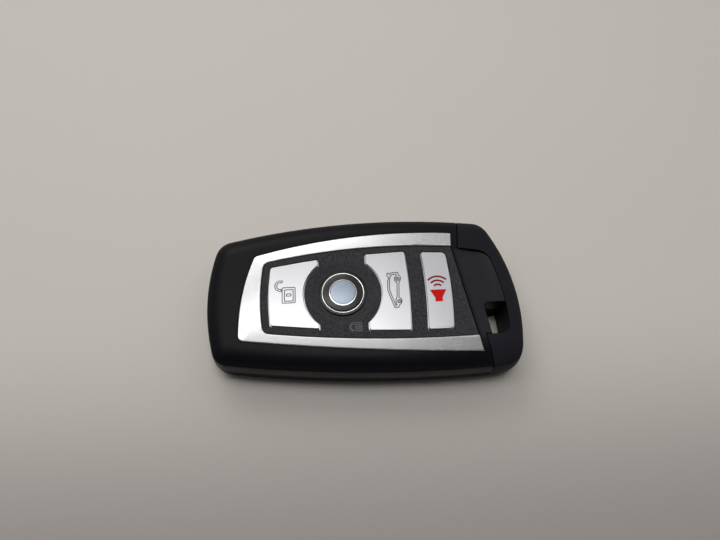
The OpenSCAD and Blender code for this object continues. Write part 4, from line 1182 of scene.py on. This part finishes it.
bootMark = {
    "outer": [(6.15, 4.83), (6.69, 4.83), (6.9, 4.5), (7.31, 4.91), (9.04, 4.91), (9.28, 4.23), (9.7, 3.6),
              (9.74, 2.9), (9.33, 2.05), (9.22, 1.7), (8.95, -1.9), (9.46, -2.32), (9.66, -3.0),
              (9.32, -3.8), (8.9, -4.1), (8.63, -4.77), (7.47, -4.77), (7.22, -3.95), (6.3, -0.95),
              (6.02, 0.14), (6.18, 2.6), (6.52, 3.4), (6.08, 3.95)],
    "inner": [(7.15, 4.1), (7.6, 4.45), (8.6, 4.45), (8.8, 3.8), (8.2, 3.4), (8.2, 2.6), (8.75, 2.1),
              (8.72, 1.6), (8.45, -1.9), (8.1, -2.6), (8.1, -3.4), (8.3, -4.1), (7.85, -4.3), (7.65, -3.8),
              (6.78, -0.95), (6.5, 0.2), (6.62, 2.5), (6.85, 3.5)],
    "wheels": ((8.85, 3.0), (8.82, -3.05)), "wheelR": 0.55, "hubR": 0.24,
}


def buildBootMark():
    z, line = marks["capTop"], marks["line"]
    b = bootMark
    parts = [stripFrom("part", b["outer"], z, line), stripFrom("part", b["inner"], z, line)]
    for x, y in b["wheels"]:
        parts.append(stripFrom("part", ringLine(x, y, b["wheelR"], 32), z, line))
        parts.append(stripFrom("part", ringLine(x, y, b["hubR"], 20), z, line * 0.7))
    joinMark("boot_mark", parts, "boot_button", "cap_silver", iconEdgeShade)


panicMark = {
    "horn": [(16.85, -0.4), (18.0, -2.55), (18.0, -3.6), (19.9, -3.6), (19.9, -2.55), (21.1, -0.4)],
    "waves": ((3.4, 2.35, 1.0), (2.3, 1.65, 0.72), (1.2, 0.93, 0.42)),  # top, half width and sag of each
    "x": 18.98, "drop": 0.17, "stroke": 0.48,
}


def buildPanicMark():
    z, p = marks["capTop"], panicMark
    horn = stripFrom("panic_horn", p["horn"], z)
    settle(horn, "panic_button", "cap_silver", hornRed)
    waves = []
    for top, half, sag in p["waves"]:
        radius = (half * half + sag * sag) / (2 * sag)
        spread = math.degrees(math.asin(half / radius))
        arc = arcStroke(p["x"], top - radius - p["drop"], radius, p["stroke"], 90 - spread, 90 + spread)
        waves.append(stripFrom("part", arc, z))
    joinMark("panic_waves", waves, "panic_button", "cap_silver", waveRed)


lockMark = {
    "boxes": ((-2.75, -10.35, -0.9, -7.95, 0.3), (-2.3, -9.85, -1.35, -8.45, 0.15)),
    "hole": (-1.83, -9.15, 0.22, 16), "shackle": (-2.95, -9.15, 0.95, 0.5, 95, 265),
}


def buildLockMark():
    z, line = marks["panelTop"], marks["line"]
    parts = [stripFrom("part", boxLine(*box), z, line) for box in lockMark["boxes"]]
    parts.append(stripFrom("part", ringLine(*lockMark["hole"]), z, line * 0.6))
    parts.append(stripFrom("part", arcStroke(*lockMark["shackle"]), z, line))
    joinMark("lock_mark", parts, "casing", "panel_charcoal", panelMarkSheen)


buildUnlockMark()
buildBootMark()
buildPanicMark()
buildLockMark()
print("marks built")


# Inner pieces keep their CAD shape and get their own finishes

boardGreen = finishOf("board_green", dark=(0.008, 0.06, 0.028), light=(0.016, 0.1, 0.045), rough=0.35,
                      grain=0.8, coat=0.4, relief=0.1, fleck=0.5)
chipBlack = finishOf("chip_black", dark=(0.015, 0.015, 0.016), light=(0.03, 0.03, 0.032), rough=0.6,
                     relief=0.3)
capacitorTan = finishOf("capacitor_tan", dark=(0.3, 0.2, 0.12), light=(0.42, 0.3, 0.19), rough=0.4)
ferriteGrey = finishOf("ferrite_grey", dark=(0.03, 0.03, 0.033), light=(0.06, 0.06, 0.065), rough=0.5,
                       relief=0.3)
copperWire = finishOf("copper_wire", dark=(0.5, 0.2, 0.07), light=(0.72, 0.33, 0.13), metal=1.0, rough=0.3)
cellSteel = finishOf("cell_steel", dark=(0.55, 0.55, 0.54), light=(0.7, 0.7, 0.69), metal=1.0, rough=0.26,
                     worn=0.5, bare=0.3)
contactStrip = finishOf("contact_strip", dark=(0.6, 0.54, 0.36), light=(0.76, 0.7, 0.5), metal=1.0,
                        rough=0.28)
switchGrey = finishOf("switch_grey", dark=(0.09, 0.09, 0.088), light=(0.14, 0.14, 0.135), rough=0.5)
plungerPale = finishOf("plunger_pale", dark=(0.28, 0.28, 0.25), light=(0.4, 0.4, 0.36), rough=0.45)
innerLooks = {
    "cover_seal": rubberBlack, "keypad_mat": rubberBlack, "switch_bodies": switchGrey,
    "circuit_board": boardGreen, "controller_chip": chipBlack, "radio_chip": chipBlack,
    "crystal": cellSteel, "capacitors": capacitorTan, "coil_core": ferriteGrey,
    "coil_winding": copperWire, "coin_cell": cellSteel,
    "contact_plus": contactStrip, "contact_minus": contactStrip,
    "unlock_plunger": plungerPale, "lock_plunger": plungerPale, "boot_plunger": plungerPale,
    "panic_plunger": plungerPale,
}
for name, finish in innerLooks.items():
    nodes[name].data.materials.clear()
    nodes[name].data.materials.append(finish)
print("inner pieces finished")


# Table, light and camera

table = {"half": 900.0, "near": (0.335, 0.316, 0.304), "far": (0.610, 0.588, 0.557), "nearY": -76.0,
         "farY": 8.0, "drop": 0.03, "grain": 1.4, "smear": 60.0, "cloud": 0.12, "fleck": 0.06,
         "rough": 0.6, "specular": 0.2}


def buildTable():
    t = table
    pickOnly(None)
    bpy.ops.mesh.primitive_plane_add(size=2 * t["half"] * mm, location=(0, 0, -t["drop"] * mm))
    piece = bpy.context.object
    piece.name = piece.data.name = "table_top"
    finish, tree, shader = newFinish("table_pale")
    apart = objectPlace(tree)
    # painted shade: the table colour runs from the darker near tone to the lighter far tone, standing in
    # for light falling off towards the near side
    paintedShadeSweep = addNode(tree, "ShaderNodeMapRange", {"interpolation_type": "SMOOTHERSTEP"},
                    From_Min=t["nearY"] * mm, From_Max=t["farY"] * mm)
    wire(tree, apart["Y"], paintedShadeSweep, "Value")
    grain = useGroup(tree, mouldedGrain, Size=t["grain"], Depth=1.0)
    marks = useGroup(tree, handlingMarks, Size=t["smear"], Spread=1.0)
    tone = addMath(tree, "MULTIPLY_ADD", marks.outputs["Cloud"], t["cloud"], paintedShadeSweep.outputs[0])
    tone = addMath(tree, "MULTIPLY_ADD", grain.outputs["Tone"], t["fleck"], tone, clamp=True)
    wire(tree, mixTones(tree, tone, t["near"], t["far"]), shader, "Base Color")
    shader.inputs["Roughness"].default_value = t["rough"]
    shader.inputs["Specular IOR Level"].default_value = t["specular"]
    piece.data.materials.append(finish)


lamps = (
    {"name": "soft_box", "at": (-165, 112, 520), "aim": (-165, 112.01, 0), "size": (490, 130),
     "power": 0.66, "tone": (1.0, 0.98, 0.95)},
    {"name": "window", "at": (-170, 480, 480), "aim": (0, 0, 0), "size": (460, 260), "power": 1.0,
     "tone": (1.0, 0.98, 0.95)},
    {"name": "top_fill", "at": (40, 40, 560), "aim": (40, 0, 0), "size": (160, 110), "power": 0.64,
     "tone": (1.0, 0.97, 0.94), "shine": False},
    {"name": "side_fill", "at": (310, 200, 430), "aim": (0, 0, 0), "size": (200, 200), "power": 0.12,
     "tone": (1.0, 0.98, 0.96)},
    {"name": "near_card", "at": (0, -700, 320), "aim": (0, 0, 0), "size": (2300, 330), "power": 0.95,
     "tone": (1.0, 0.985, 0.97), "spread": False},
)


def buildLamps():
    for spec in lamps:
        lamp = bpy.data.lights.new(spec["name"], "AREA")
        lamp.shape = "RECTANGLE"
        lamp.size, lamp.size_y = (side * mm for side in spec["size"])
        lamp.energy = spec["power"]
        lamp.color = spec["tone"]
        rig = bpy.data.objects.new(spec["name"], lamp)
        bpy.context.scene.collection.objects.link(rig)
        at, aim = Vector(spec["at"]) * mm, Vector(spec["aim"]) * mm
        rig.matrix_world = Matrix.Translation(at) @ (aim - at).to_track_quat("-Z", "Y").to_matrix().to_4x4()
        rig.visible_glossy = spec.get("shine", True)
        rig.visible_diffuse = spec.get("spread", True)
        rig.visible_camera = False


# radiance of the room against how far a direction looks to the far side
room = {"tone": (1.0, 0.985, 0.965), "steps": ((0.2, 0.02), (0.44, 0.15), (0.64, 0.48), (1.0, 0.52)),
        "strength": 1.0, "backdrop": (0.42, 0.41, 0.395)}


def buildRoom():
    world = bpy.data.worlds.new("room")
    bpy.context.scene.world = world
    world.use_nodes = True
    tree = world.node_tree
    apart = objectPlace(tree)
    ramp = addNode(tree, "ShaderNodeValToRGB")
    stops = ramp.color_ramp.elements
    for place, level in room["steps"][1:-1]:
        stops.new(place)
    for stop, (place, level) in zip(stops, room["steps"]):
        stop.position = place
        stop.color = (*(level * part for part in room["tone"]), 1)
    wire(tree, addMath(tree, "MULTIPLY_ADD", apart["Y"], 0.5, 0.5), ramp, 0)
    # the camera itself sees a plain pale backdrop past the table
    seen = addNode(tree, "ShaderNodeMix", {"data_type": "RGBA"})
    seen.inputs["B"].default_value = (*room["backdrop"], 1)
    wire(tree, addNode(tree, "ShaderNodeLightPath").outputs["Is Camera Ray"], seen, "Factor")
    wire(tree, ramp.outputs[0], seen, "A")
    back = tree.nodes["Background"]
    wire(tree, seen.outputs["Result"], back, "Color")
    back.inputs["Strength"].default_value = room["strength"]


eye = {"target": (-0.617, 6.011, 12.4), "turn": -5.765, "rise": 66.894, "roll": 2.715, "away": 140.09,
       "lens": 27.1, "sensor": 36.0}


def buildCamera():
    e = eye
    turn, rise, roll = (math.radians(e[key]) for key in ("turn", "rise", "roll"))
    back = Vector((math.sin(turn) * math.cos(rise), -math.cos(turn) * math.cos(rise), math.sin(rise)))
    right = Vector((math.cos(turn), math.sin(turn), 0))
    up = back.cross(right)
    across = right * math.cos(roll) + up * math.sin(roll)
    upright = up * math.cos(roll) - right * math.sin(roll)
    lens = bpy.data.cameras.new("eye")
    lens.lens = e["lens"]
    lens.sensor_width = e["sensor"]
    lens.sensor_fit = "HORIZONTAL"
    lens.clip_start = 0.001
    rig = bpy.data.objects.new("eye", lens)
    bpy.context.scene.collection.objects.link(rig)
    spot = (Vector(e["target"]) + back * e["away"]) * mm
    rig.matrix_world = Matrix.Translation(spot) @ Matrix((across, upright, back)).transposed().to_4x4()
    bpy.context.scene.camera = rig


buildTable()
buildLamps()
buildRoom()
buildCamera()
bpy.context.scene.view_settings.view_transform = "Standard"
print("table, light and camera ready")
